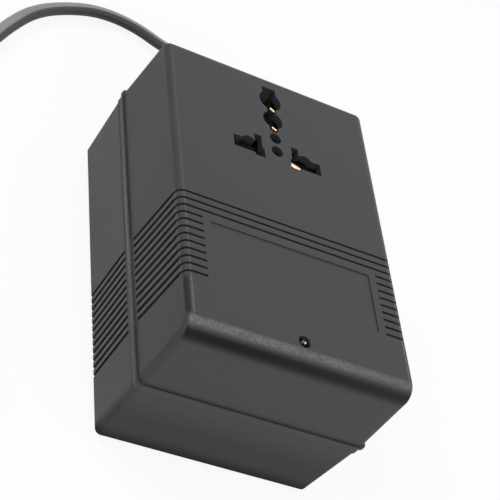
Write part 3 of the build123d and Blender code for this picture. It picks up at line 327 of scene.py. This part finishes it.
def cover_painted_light(graph):
    """Painted shade in the cover's grooves and outlet openings, painted highlights on its edges and
    ribs, and painted shade under its rounds.
    """
    x, y, z = graph.axes()
    across = x.size()
    out_x, out_z = across - SIDE_ROUND_X, z - SIDE_ROUND_Z
    past_x, past_z = out_x.at_least(0.0), out_z.at_least(0.0)
    far = (past_x * past_x + past_z * past_z).root()
    inner = out_x.at_least(out_z).at_most(0.0)
    depth = SIDE_ROUND - (far + inner)
    ribs = y.band(*RIBS_Y, CRISP)
    outlet = across.below(OUTLET_HALF_WIDTH, CRISP) * y.band(*OUTLET_Y, CRISP)
    shallow = 1 - z.step(RIBS_SHALLOW_Z, CRISP) * 0.55
    # Painted shade: the grooves turn dark, less on the top face, and the outlet's openings darken
    # below their face.
    hollow_painted_shade = depth.step(0.00045, FINE) * ribs * shallow
    hollow_painted_shade = hollow_painted_shade + outlet * z.below(OUTLET_SHADE_Z, 0.00012) * 0.12

    # The near round: a painted highlight band high on it and a painted shade band lower down, both
    # weaker to the right.
    ahead = (NEAR_ROUND_Y - y).at_least(0.0)
    above = z - NEAR_ROUND_Z
    rise, drop = above.at_least(0.0), 0.0 - above.at_most(0.0)
    near_far = (ahead * ahead + rise * rise).root()
    near_arc = round_arc(ahead, rise, NEAR_ROUND, drop)
    painted_highlight = near_arc.band(*NEAR_HIGHLIGHT) * 0.43
    dull = near_arc.step(*NEAR_SHADE_START) * near_arc.below(*NEAR_SHADE_END) * 0.43
    near = (painted_highlight - dull) * near_far.step(0.0046, CRISP)
    near = near * (1.12 - x.step(0.008, 0.03) * 0.24)

    # The side rounds: two thin painted highlight lines with a painted shade band between them,
    # stronger towards the front and over the ribs.
    drop = 0.0 - out_z.at_most(0.0)
    side_arc = round_arc(past_x, past_z, SIDE_ROUND, drop)
    lines = side_arc.band(*SIDE_TOP_HIGHLIGHT) * 0.18 + side_arc.band(*SIDE_LOW_HIGHLIGHT) * 0.1
    side = lines - side_arc.band(*SIDE_SHADE) * 0.18
    side = side * far.step(0.0021, FINE) * y.step(-0.0473, 0.001)
    side = side * (0.8 + y.below(-0.0355, 0.001) * 1.2) * (1 + ribs * 0.6)
    # A faint painted highlight on the outer part of the ribbed zone; the sum splits into a painted
    # highlight share and a painted shade share.
    painted_light_share = near + side + ribs * across.step(RIBS_OUTER_X, SOFT) * 0.1
    return hollow_painted_shade.clamp(0, 1), (painted_light_share * 2).clamp(0, 1), (painted_light_share * -2).clamp(0, 1)


def base_painted_light(graph):
    """Painted shade in the base's grooves and inside its joint, painted highlights along its rim
    and ribs, and painted shade at the rim band's lower edge and towards the ground at the front.
    """
    x, y, z = graph.axes()
    across = x.size()
    depth = z * BASE_LEAN + BASE_FOOT_X - across
    ribs = y.band(*RIBS_Y, CRISP) * z.band(*BASE_RIBS_Z, FINE)
    # Painted shade in the base's grooves and on its rim inside the joint.
    hollow_painted_shade = depth.step(0.00035, FINE) * ribs + z.step(JOINT_Z, 0.00004) * 0.6
    side = across.step(BASE_SIDE_X, SOFT)
    middle = y.band(-0.012, 0.018, 0.012)
    # Painted highlight along the rim band on the sides, strongest mid-length, and faintly over the
    # ribbed zone.
    painted_highlight = side * z.band(*BASE_RIM_Z, SOFT) * (middle * 0.55 + 0.35) + ribs * 0.2
    # Painted shade: the front darker towards the ground, and a thin line at the rim band's lower
    # edge.
    low = ((0.026 - z) * 26).clamp(0, 0.34) + z.below(0.0045, 0.003) * 0.5
    crease = z.band(*BASE_CREASE_Z, CRISP) * (side * y.step(-0.02, 0.012) * 0.4 + 0.1)
    painted_shade = y.below(BASE_FRONT_Y, 0.0012) * low + crease
    return hollow_painted_shade.clamp(0, 1), painted_highlight.clamp(0, 1), painted_shade.clamp(0, 1)


def case_plastic(name, colour, grain, painted_light_masks):
    """Spark-eroded dark plastic with faint dust and fine scratches, painted highlights on its edges
    and painted shade in its hollows and bands.
    """
    material, graph = new_material(name)
    hollow_painted_shade, painted_highlight, painted_shade = painted_light_masks(graph)
    fine = graph.noise(grain, 4.0, 0.65)
    coarse = graph.noise(grain / 3.2, 3.0, 0.5)
    cloud = graph.noise(38.0, 4.0, 0.6)
    dust = graph.noise(95.0, 6.0, 0.72).step(0.62, 0.1)
    scratch = graph.noise(260.0, 2.0, 0.5, (0.08, 1.0, 1.0)).step(0.735, 0.02)
    speck = graph.noise(2600.0, 1.0, 0.5).step(0.72, 0.03)
    tone = graph.mix(cloud, shade(colour, 0.88), shade(colour, 1.14))
    pale = shade(colour, 1.75, 0.01)
    highlight_grain = graph.noise(1500.0, 3.0, 0.7).step(0.5, 0.19)
    tone = graph.mix((dust * 0.12 + scratch * 0.16 + speck * 0.2).clamp(0, 1), tone, pale)
    # Painted highlight, broken into a fine grain: where its mask rises, the colour turns pale.
    painted_light_share = graph.noise(150.0, 5.0, 0.7) * 0.6 + highlight_grain * 0.6
    tone = graph.mix((painted_highlight * painted_light_share).clamp(0, 1), tone, shade(colour, 4.6, 0.02))
    rough = (0.42 + cloud * 0.12 + dust * 0.1).clamp(0.25, 0.9)
    height = fine * 0.65 + coarse * 0.5
    # Painted shade: grooves, joint and shaded bands mix towards a dark matte colour.
    graph.with_painted_shade(
        (hollow_painted_shade * 0.92 + painted_shade * 0.9).clamp(0, 1), shade(colour, 0.33),
        Base_Color=tone, Roughness=rough, Normal=graph.bump(height, 0.3, 0.0001),
    ).put("Specular IOR Level", 0.4)
    return material


def soft_plastic(name, colour, roughness, grain=1400.0, depth=0.00005):
    """Plain moulded plastic or rubber with a fine grain and slightly uneven colour."""
    material, graph = new_material(name)
    cloud = graph.noise(55.0, 4.0, 0.6)
    fine = graph.noise(grain, 3.0, 0.6)
    tone = graph.mix(cloud, shade(colour, 0.8), shade(colour, 1.22))
    rough = (cloud * 0.16 + (roughness - 0.08)).clamp(0.05, 1)
    graph.surface(Base_Color=tone, Roughness=rough, Normal=graph.bump(fine, 0.35, depth))
    return material


def cord_sheath(name, colour, roughness):
    """Cord sheath with a pale painted highlight strip along the upper outer edge of the flat
    section.
    """
    material, graph = new_material(name)
    along = graph.node("ShaderNodeUVMap", {"uv_map": "along"}).out("UV")
    parts = graph.node("ShaderNodeSeparateXYZ", {}, Vector=along)
    # Painted highlight: a pale strip along the upper outer edge, much weaker after the first 0.15
    # m.
    strip = parts.out("Y").band(0.31, 0.53, 0.035) * (1 - parts.out("X").step(0.15, 0.03) * 0.75)
    cloud = graph.noise(55.0, 4.0, 0.6)
    fine = graph.noise(1800.0, 3.0, 0.6)
    tone = graph.mix(cloud, shade(colour, 0.8), shade(colour, 1.22))
    painted_sheen = (strip * (cloud * 0.7 + fine * 0.6)).clamp(0, 1)
    tone = graph.mix(painted_sheen, tone, shade(colour, 11))
    rough = (cloud * 0.16 + (roughness - 0.08)).clamp(0.05, 1)
    graph.surface(Base_Color=tone, Roughness=rough, Normal=graph.bump(fine, 0.35, 0.00003))
    return material


def metal(name, colour, roughness, stretch=(1, 1, 1), stain=0.25):
    """Sheet or turned metal with a drawn grain and dull spots."""
    material, graph = new_material(name)
    grain = graph.noise(900.0, 3.0, 0.6, stretch)
    cloud = graph.noise(160.0, 5.0, 0.65)
    spot = cloud.step(0.6, 0.08)
    tone = graph.mix(spot * stain, colour, shade(colour, 0.45))
    rough = (grain * 0.16 + spot * 0.18 + (roughness - 0.08)).clamp(0.05, 1)
    graph.surface(
        Base_Color=tone, Roughness=rough, Metallic=1.0, Normal=graph.bump(grain, 0.2, 0.00003)
    )
    return material


def laminated_steel(name, colour, thick):
    """Stacked sheets seen from the side: fine dark lines along the height, with some rust."""
    material, graph = new_material(name)
    x, y, z = graph.axes()
    line = ((z / thick).saw() - 0.5).size().step(0.41, 0.06)
    cloud = graph.noise(120.0, 5.0, 0.65)
    rust = cloud.step(0.66, 0.07)
    tone = graph.mix(line, colour, shade(colour, 0.3))
    tone = graph.mix(rust * 0.5, tone, (0.16, 0.07, 0.03))
    rough = (cloud * 0.2 + line * 0.2 + 0.3).clamp(0.1, 1)
    metallic = 1 - (rust * 0.5 + line * 0.3)
    graph.surface(
        Base_Color=tone, Roughness=rough, Metallic=metallic,
        Normal=graph.bump(1 - line, 0.5, 0.0001),
    )
    return material


def wound_wire(name, colour, thick):
    """Enamelled wire laid side by side round the former, with painted shade between the turns."""
    material, graph = new_material(name)
    x, y, z = graph.axes()
    saw = (y / thick).saw()
    ridge = saw * (1 - saw) * 4
    cloud = graph.noise(140.0, 4.0, 0.6)
    # Painted shade: each turn darkens towards its edges, where the turns meet.
    tone = graph.mix(ridge, shade(colour, 0.25), colour)
    tone = graph.mix(cloud * 0.35, tone, shade(colour, 0.6))
    rough = (cloud * 0.15 + 0.22).clamp(0.05, 1)
    graph.surface(
        Base_Color=tone, Roughness=rough, Metallic=0.75,
        Normal=graph.bump(ridge, 0.8, thick * 0.4),
    )
    return material


def film_tape(name, colour):
    """Shiny polyester tape, with the edges of its turns showing."""
    material, graph = new_material(name)
    edge = graph.noise(12.0, 1.0, 0.5, (1, 7, 1)).step(0.52, 0.012)
    cloud = graph.noise(90.0, 4.0, 0.6)
    tone = graph.mix(edge * 0.35 + cloud * 0.3, colour, shade(colour, 0.62))
    rough = (cloud * 0.2 + 0.16).clamp(0.05, 1)
    graph.surface(
        Base_Color=tone, Roughness=rough, Normal=graph.bump(edge + cloud * 0.4, 0.4, 0.0001)
    )
    return material


def tinted_lens(name, colour):
    """Tinted, unlit lamp moulding with two painted highlights on its lens."""
    material, graph = new_material(name)
    x, y, z = graph.axes()
    cloud = graph.noise(420.0, 3.0, 0.6)
    tone = graph.mix(cloud, shade(colour, 0.6), shade(colour, 1.5))
    # Two painted highlights: pale spots on the lens.
    for spot_x, spot_y, radius, pale in LAMP_HIGHLIGHTS:
        across, along = x - spot_x, y - spot_y
        far = across * across + along * along
        spot = far.root().below(radius, radius * 0.5)
        tone = graph.mix(spot, tone, (pale, pale, pale))
    shader = graph.surface(Base_Color=tone, Roughness=(cloud * 0.06 + 0.07).clamp(0, 1))
    shader.put("Specular IOR Level", 0.06)
    return material


# Mesh helpers


def finish_piece(piece, material, slot, *nodes):
    """Gives a piece its finish, lets it ride, and lets it stand for CAD nodes."""
    piece.data.materials.clear()
    piece.data.materials.append(material)
    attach(piece, "root")
    if nodes:
        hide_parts(*nodes)


def dress(node, material):
    """Gives a CAD node that keeps its shape a better finish."""
    target = NODES[node]
    if not target.material_slots:
        target.data.materials.append(material)
    for slot in target.material_slots:
        slot.material = material


def metres(point):
    return Vector(point) * 0.001


def solid_block(low, high):
    """A box between two corners in millimetres, with softened edges."""
    low, high = metres(low), metres(high)
    bpy.ops.mesh.primitive_cube_add(size=1.0, location=(low + high) / 2)
    piece = bpy.context.active_object
    bpy.ops.object.mode_set(mode="EDIT")
    size = high - low
    bpy.ops.transform.resize(value=size, center_override=(low + high) / 2)
    bpy.ops.mesh.bevel(offset=min(size) * 0.22, segments=3, affect="EDGES")
    bpy.ops.object.mode_set(mode="OBJECT")
    return piece


def rolled_tip(start, end, height, radius):
    """The rolled edge of a contact finger, between two places at one height."""
    first, last = metres((*start, height)), metres((*end, height))
    way = last - first
    bpy.ops.mesh.primitive_uv_sphere_add(
        segments=24, ring_count=16, radius=radius * 0.001, location=(0, 0, 0)
    )
    piece = bpy.context.active_object
    half = way.length / 2
    for vertex in piece.data.vertices:
        vertex.co.z += half if vertex.co.z > 0 else -half
    turn = way.to_track_quat("Z", "Y").to_matrix().to_4x4()
    piece.data.transform(Matrix.Translation((first + last) / 2) @ turn)
    bpy.ops.object.shade_smooth()
    return piece


def contact_lips():
    """The tips of the brass fingers that stand in the notches of the outlet's openings."""
    parts = []
    for start, end, top, radius in LIPS:
        parts.append(rolled_tip(start, end, top, radius))
        low_x, high_x = min(start[0], end[0]), max(start[0], end[0])
        y = (start[1] + end[1]) / 2
        low = (low_x, y - LIP_HALF_THICK, LIP_FOOT)
        high = (high_x, y + LIP_HALF_THICK, top)
        parts.append(solid_block(low, high))
    bpy.ops.object.select_all(action="DESELECT")
    for part in parts:
        part.select_set(True)
    bpy.context.view_layer.objects.active = parts[0]
    bpy.ops.object.join()
    lips = bpy.context.active_object
    lips.name = "contact_lips"
    bpy.ops.object.transform_apply(location=True, rotation=True, scale=True)
    return lips


def coil_control_points():
    """Control points of the put-away turns: inward, up one layer, and outward again."""
    sides = [(COIL_OUTER_RADIUS, 0.0)]
    for index in range(COIL_LEVEL_HALF_TURNS):
        extra = COIL_TURN_IN if index == COIL_LEVEL_HALF_TURNS - 1 else 0.0
        sides.append((sides[-1][0] - COIL_PITCH / 2 - extra, 0.0))
    sides.append((sides[-1][0], COIL_PITCH))
    for index in range(COIL_LEVEL_HALF_TURNS + 1):
        extra = COIL_TURN_IN if index == 0 else 0.0
        sides.append((sides[-1][0] + COIL_PITCH / 2 + extra, COIL_PITCH))
    last = CORD_ROUTE[-1]
    centre_x = last[0] - COIL_OUTER_RADIUS
    points = []
    for index in range(len(sides) - 1):
        reach, rise = sides[index]
        reach_next, rise_next = sides[index + 1]
        for step in range(COIL_STEPS):
            share = (step + 0.5) / COIL_STEPS
            angle = math.pi * (index + share)
            lift = rise + (rise_next - rise) * (1 - math.cos(math.pi * share)) / 2
            radius = reach + (reach_next - reach) * share
            radius /= math.cos(math.pi / COIL_STEPS / 2)
            points.append(
                (
                    centre_x + radius * math.cos(angle),
                    COIL_START_Y - radius * math.sin(angle),
                    last[2] + lift,
                )
            )
    end_x = centre_x + sides[-1][0]
    return points, end_x, last[2] + COIL_PITCH


def cord_control_points():
    """Every control point of the cord, from its boot to its plug, in millimetres."""
    turns, end_x, end_z = coil_control_points()
    tail_y = COIL_START_Y - COIL_STRAIGHT
    plug = [(end_x, COIL_START_Y - COIL_END_RUN, end_z)]
    for run, share in PLUG_FALL:
        plug.append((end_x, tail_y - run, end_z - share * (end_z - PLUG_Z)))
    last_x, _, last_z = CORD_ROUTE[-1]
    return CORD_ROUTE + [(last_x, COIL_START_Y + COIL_STRAIGHT, last_z)] + turns + plug


def spline_points(points):
    """Points along a NURBS spline of the given control points."""
    curve = bpy.data.curves.new("cord_route", "CURVE")
    curve.dimensions = "3D"
    curve.resolution_u = 10
    spline = curve.splines.new("NURBS")
    spline.points.add(len(points) - 1)
    for target, point in zip(spline.points, points):
        target.co = (*metres(point), 1)
    spline.order_u = 3
    spline.use_endpoint_u = True
    holder = bpy.data.objects.new("cord_route", curve)
    bpy.context.collection.objects.link(holder)
    mesh = bpy.data.meshes.new_from_object(holder)
    path = [v.co.copy() for v in mesh.vertices]
    bpy.data.objects.remove(holder)
    bpy.data.curves.remove(curve)
    bpy.data.meshes.remove(mesh)
    return path


def eased(distance, start, length):
    """0 before a stretch of the cord and 1 after it, softly."""
    share = min(max((distance - start) / length, 0.0), 1.0)
    return share * share * (3 - 2 * share)


def upright(distance):
    """How far the flat cord stands up: 0 lies on its broad side, 1 stands on its edge."""
    lean = eased(distance, *CORD_LEANS)
    stand = eased(distance, *CORD_STANDS)
    return stand - CORD_LEAN_SHARE * lean * (1 - stand)


def flat_section(width, thick, steps):
    """The outline of a flat cord, across and up."""
    radius = thick / 2
    reach = width / 2 - radius
    outline = []
    for side in (1, -1):
        for step in range(steps + 1):
            angle = math.pi * (step / steps - 0.5)
            if side < 0:
                angle += math.pi
            outline.append((side * reach + radius * math.cos(angle), radius * math.sin(angle)))
    return outline


def flat_tube(name, path, outline):
    """A closed tube of a flat section along a path, turned as the cord stands up."""
    mesh = bpy.data.meshes.new(name)
    piece = bpy.data.objects.new(name, mesh)
    bpy.context.collection.objects.link(piece)
    shape = bmesh.new()
    uv = shape.loops.layers.uv.new("along")
    rings = []
    distances = [0.0]
    for index, point in enumerate(path):
        before = path[max(index - 1, 0)]
        after = path[min(index + 1, len(path) - 1)]
        if index:
            distances.append(distances[-1] + (point - path[index - 1]).length)
        way = (after - before).normalized()
        level = way.cross(Vector((0, 0, 1))).normalized()
        rise = level.cross(way).normalized()
        turn = upright(distances[-1]) * math.pi / 2
        wide = level * math.cos(turn) + rise * math.sin(turn)
        thin = rise * math.cos(turn) - level * math.sin(turn)
        rings.append([shape.verts.new(point + wide * u + thin * v) for u, v in outline])
    count = len(outline)
    for index in range(len(rings) - 1):
        for k in range(count):
            m = (k + 1) % count
            face = shape.faces.new(
                (rings[index][k], rings[index][m], rings[index + 1][m], rings[index + 1][k])
            )
            face.smooth = True
            spots = ((index, k), (index, k + 1), (index + 1, k + 1), (index + 1, k))
            for loop, (i, j) in zip(face.loops, spots):
                loop[uv].uv = (distances[i], j / count)
    shape.faces.new(rings[0])
    shape.faces.new(rings[-1][::-1])
    bmesh.ops.recalc_face_normals(shape, faces=shape.faces)
    shape.to_mesh(mesh)
    shape.free()
    return piece, distances[-1]


def area_light(name, place, target, size, power):
    light = bpy.data.lights.new(name, "AREA")
    light.shape = "DISK"
    light.size = size
    light.energy = power
    holder = bpy.data.objects.new(name, light)
    holder.location = place
    holder.rotation_mode = "QUATERNION"
    way = Vector(target) - Vector(place)
    holder.rotation_quaternion = way.to_track_quat("-Z", "Y")
    bpy.context.collection.objects.link(holder)
    return holder


# Settings


class CaseSettings(bpy.types.PropertyGroup):
    """Finish of the two mouldings."""

    colour: bpy.props.FloatVectorProperty(
        name="Case colour", description="Colour of the moulded case", subtype="COLOR",
        size=3, min=0, max=1, default=(0.044, 0.044, 0.0475),
    )
    grain: bpy.props.FloatProperty(
        name="Grain", description="Fineness of the moulded texture, per metre",
        default=1500.0, min=100.0,
    )


class CordSettings(bpy.types.PropertyGroup):
    """Size and finish of the mains cord."""

    width: bpy.props.FloatProperty(
        name="Cord width", description="Broad side of the flat cord",
        default=0.0054, min=0.002, subtype="DISTANCE", unit="LENGTH",
    )
    thickness: bpy.props.FloatProperty(
        name="Cord thickness", description="Narrow side of the flat cord",
        default=0.0034, min=0.001, subtype="DISTANCE", unit="LENGTH",
    )
    colour: bpy.props.FloatVectorProperty(
        name="Cord colour", description="Colour of the cord and its plug", subtype="COLOR",
        size=3, min=0, max=1, default=(0.036, 0.036, 0.038),
    )


class MetalSettings(bpy.types.PropertyGroup):
    """Colours of the metal pieces."""

    brass: bpy.props.FloatVectorProperty(
        name="Brass", description="Colour of the outlet's contacts", subtype="COLOR",
        size=3, min=0, max=1, default=(0.075, 0.066, 0.056),
    )
    steel: bpy.props.FloatVectorProperty(
        name="Steel", description="Colour of screws and washers", subtype="COLOR",
        size=3, min=0, max=1, default=(0.56, 0.56, 0.57),
    )


# Operators


class CONVERTER_OT_case(bpy.types.Operator):
    """Finish the cover, the base and the feet"""

    bl_idname = "converter.case"
    bl_label = "Case"

    def execute(self, context):
        settings = context.scene.converter_case
        colour = tuple(settings.colour)
        dress("cover", case_plastic("cover_plastic", colour, settings.grain, cover_painted_light))
        dress("base", case_plastic("base_plastic", colour, settings.grain, base_painted_light))
        dress("feet", soft_plastic("foot_rubber", (0.02, 0.02, 0.021), 0.8))
        return {"FINISHED"}


class CONVERTER_OT_outlet(bpy.types.Operator):
    """Finish the carrier, contacts and power lamp"""

    bl_idname = "converter.outlet"
    bl_label = "Outlet"

    def execute(self, context):
        settings = context.scene.converter_metal
        brass = metal("contact_brass", tuple(settings.brass), 0.55, (1, 1, 0.1), 0.8)
        for node in ("line_contact", "neutral_contact", "earth_contact"):
            dress(node, brass)
        dress("socket_carrier", soft_plastic("carrier_plastic", (0.05, 0.05, 0.053), 0.5))
        dress("indicator_lamp", tinted_lens("lamp_lens", (0.008, 0.003, 0.006)))
        lips = contact_lips()
        lip_brass = metal("lip_brass", (0.9, 0.6, 0.34), 0.24, (1, 1, 1), 0.2)
        finish_piece(lips, lip_brass, "line_contact")
        dress("lamp_resistor", soft_plastic("resistor_lacquer", (0.55, 0.38, 0.2), 0.35))
        return {"FINISHED"}


class CONVERTER_OT_inside(bpy.types.Operator):
    """Finish the transformer, its leads and all screws"""

    bl_idname = "converter.inside"
    bl_label = "Inside"

    def execute(self, context):
        settings = context.scene.converter_metal
        steel = metal("screw_steel", tuple(settings.steel), 0.35)
        for node in (
            "case_screws", "carrier_screws", "transformer_screws", "transformer_washers",
            "clamp_screws",
        ):
            dress(node, steel)
        core = laminated_steel("core_steel", (0.3, 0.3, 0.31), 0.0005)
        dress("e_laminations", core)
        dress("i_laminations", core)
        dress("bobbin", soft_plastic("bobbin_nylon", (0.62, 0.58, 0.48), 0.5))
        dress("primary_winding", wound_wire("primary_wire", (0.62, 0.2, 0.07), 0.0003))
        dress("secondary_winding", wound_wire("secondary_wire", (0.7, 0.27, 0.1), 0.0006))
        dress("winding_tape", film_tape("coil_tape", (0.72, 0.5, 0.06)))
        dress("terminal_pins", metal("tinned_pin", (0.74, 0.72, 0.68), 0.3))
        dress("thermal_fuse", soft_plastic("fuse_body", (0.72, 0.7, 0.64), 0.45))
        dress("fuse_leads", metal("tinned_wire", (0.72, 0.7, 0.66), 0.32))
        dress("lamp_leads", soft_plastic("yellow_sheath", (0.62, 0.48, 0.04), 0.45))
        dress("output_leads", soft_plastic("black_sheath", (0.02, 0.02, 0.02), 0.42))
        dress("live_core", soft_plastic("brown_sheath", (0.17, 0.06, 0.025), 0.42))
        dress("neutral_core", soft_plastic("blue_sheath", (0.03, 0.11, 0.42), 0.42))
        dress("cord_clamp", soft_plastic("clamp_plastic", (0.02, 0.02, 0.021), 0.5))
        return {"FINISHED"}


class CONVERTER_OT_cord(bpy.types.Operator):
    """Make the flat cord with its put-away coil, and finish what is on it"""

    bl_idname = "converter.cord"
    bl_label = "Cord"

    def execute(self, context):
        settings = context.scene.converter_cord
        colour = tuple(settings.colour)
        rubber = soft_plastic("tail_sheath", colour, 0.4, 1800.0, 0.00003)
        path = spline_points(cord_control_points())
        outline = flat_section(settings.width, settings.thickness, 8)

        cord, length = flat_tube("mains_cord", path, outline)
        sheath = cord_sheath("cord_sheath", colour, 0.4)
        finish_piece(cord, sheath, "power_cord", "power_cord", "cord_coil", "plug_lead")
        boot = soft_plastic("boot_rubber", (0.035, 0.035, 0.037), 0.6)
        dress("cord_tail", rubber)
        dress("strain_relief", boot)
        dress("coil_tie", soft_plastic("tie_plastic", (0.02, 0.02, 0.02), 0.5))
        dress("plug_body", soft_plastic("plug_rubber", (0.04, 0.04, 0.042), 0.5))
        dress("plug_sleeves", soft_plastic("sleeve_plastic", (0.02, 0.02, 0.02), 0.4))
        dress("plug_pins", metal("pin_nickel", (0.7, 0.68, 0.62), 0.22))
        return {"FINISHED"}


class CONVERTER_OT_stage(bpy.types.Operator):
    """Set the floor, the lights and the camera"""

    bl_idname = "converter.stage"
    bl_label = "Stage"

    def execute(self, context):
        bpy.ops.mesh.primitive_circle_add(vertices=96, radius=3.0, fill_type="NGON")
        floor = context.active_object
        floor.name = "floor"
        material, graph = new_material("floor_paper")
        path = graph.node("ShaderNodeLightPath")
        seen = (path.out("Is Camera Ray") + path.out("Is Glossy Ray") * 0.55).clamp(0, 1)
        paper = graph.node("ShaderNodeBsdfDiffuse", {}, Color=(0.86, 0.86, 0.86)).out("BSDF")
        white = graph.node("ShaderNodeEmission", {}, Color=(1, 1, 1), Strength=1.05)
        mix = graph.node("ShaderNodeMixShader", {})
        mix.put(0, seen * 0.85).put(1, paper).put(2, white.out("Emission"))
        graph.finish(mix.out("Shader"))
        floor.data.materials.append(material)

        world = bpy.data.worlds.new("studio")
        context.scene.world = world
        sky = Graph(world)
        path = sky.node("ShaderNodeLightPath")
        seen = path.out("Is Camera Ray") + path.out("Is Glossy Ray")
        seen = (seen + path.out("Is Transmission Ray")).clamp(0, 1)
        strength = seen * 0.64 + 0.36
        background = sky.node("ShaderNodeBackground", {}, Color=(1, 1, 1), Strength=strength)
        sky.node("ShaderNodeOutputWorld", {}, Surface=background.out("Background"))

        for name, place, size, power in LIGHTS:
            area_light(name, place, LIGHT_TARGET, size, power)

        lens = bpy.data.cameras.new("camera")
        lens.sensor_width = CAMERA_SENSOR
        lens.lens = CAMERA_LENS
        lens.shift_x, lens.shift_y = CAMERA_SHIFT
        lens.clip_start = 0.01
        camera = bpy.data.objects.new("camera", lens)
        right = Vector(CAMERA_RIGHT).normalized()
        ahead = Vector(CAMERA_AHEAD).normalized()
        up = right.cross(ahead).normalized()
        right = ahead.cross(up).normalized()
        turn = Matrix((right, up, -ahead)).transposed().to_4x4()
        camera.matrix_world = Matrix.Translation(metres(CAMERA_PLACE)) @ turn
        context.collection.objects.link(camera)
        context.scene.camera = camera
        context.scene.view_settings.view_transform = "Standard"
        return {"FINISHED"}


class CONVERTER_PT_panel(bpy.types.Panel):
    """Lists the steps that build the converter."""

    bl_label = "Travel Voltage Converter"
    bl_idname = "CONVERTER_PT_panel"
    bl_space_type = "VIEW_3D"
    bl_region_type = "UI"
    bl_category = "Converter"

    def draw(self, context):
        for step in OPERATORS:
            self.layout.operator(step.bl_idname)
        for group in ("converter_case", "converter_cord", "converter_metal"):
            settings = getattr(context.scene, group)
            for name in settings.__annotations__:
                self.layout.prop(settings, name)


SETTINGS = {
    "converter_case": CaseSettings,
    "converter_cord": CordSettings,
    "converter_metal": MetalSettings,
}
OPERATORS = [
    CONVERTER_OT_case,
    CONVERTER_OT_outlet,
    CONVERTER_OT_inside,
    CONVERTER_OT_cord,
    CONVERTER_OT_stage,
]


def register():
    for name, group in SETTINGS.items():
        bpy.utils.register_class(group)
        setattr(bpy.types.Scene, name, bpy.props.PointerProperty(type=group))
    for item in [*OPERATORS, CONVERTER_PT_panel]:
        bpy.utils.register_class(item)


def unregister():
    for item in [CONVERTER_PT_panel, *reversed(OPERATORS)]:
        bpy.utils.unregister_class(item)
    for name, group in SETTINGS.items():
        delattr(bpy.types.Scene, name)
        bpy.utils.unregister_class(group)


def main():
    register()
    bpy.ops.object.select_all(action="DESELECT")
    for step in OPERATORS:
        group, name = step.bl_idname.split(".")
        getattr(getattr(bpy.ops, group), name)()
        bpy.ops.object.select_all(action="DESELECT")


if __name__ == "__main__":
    main()
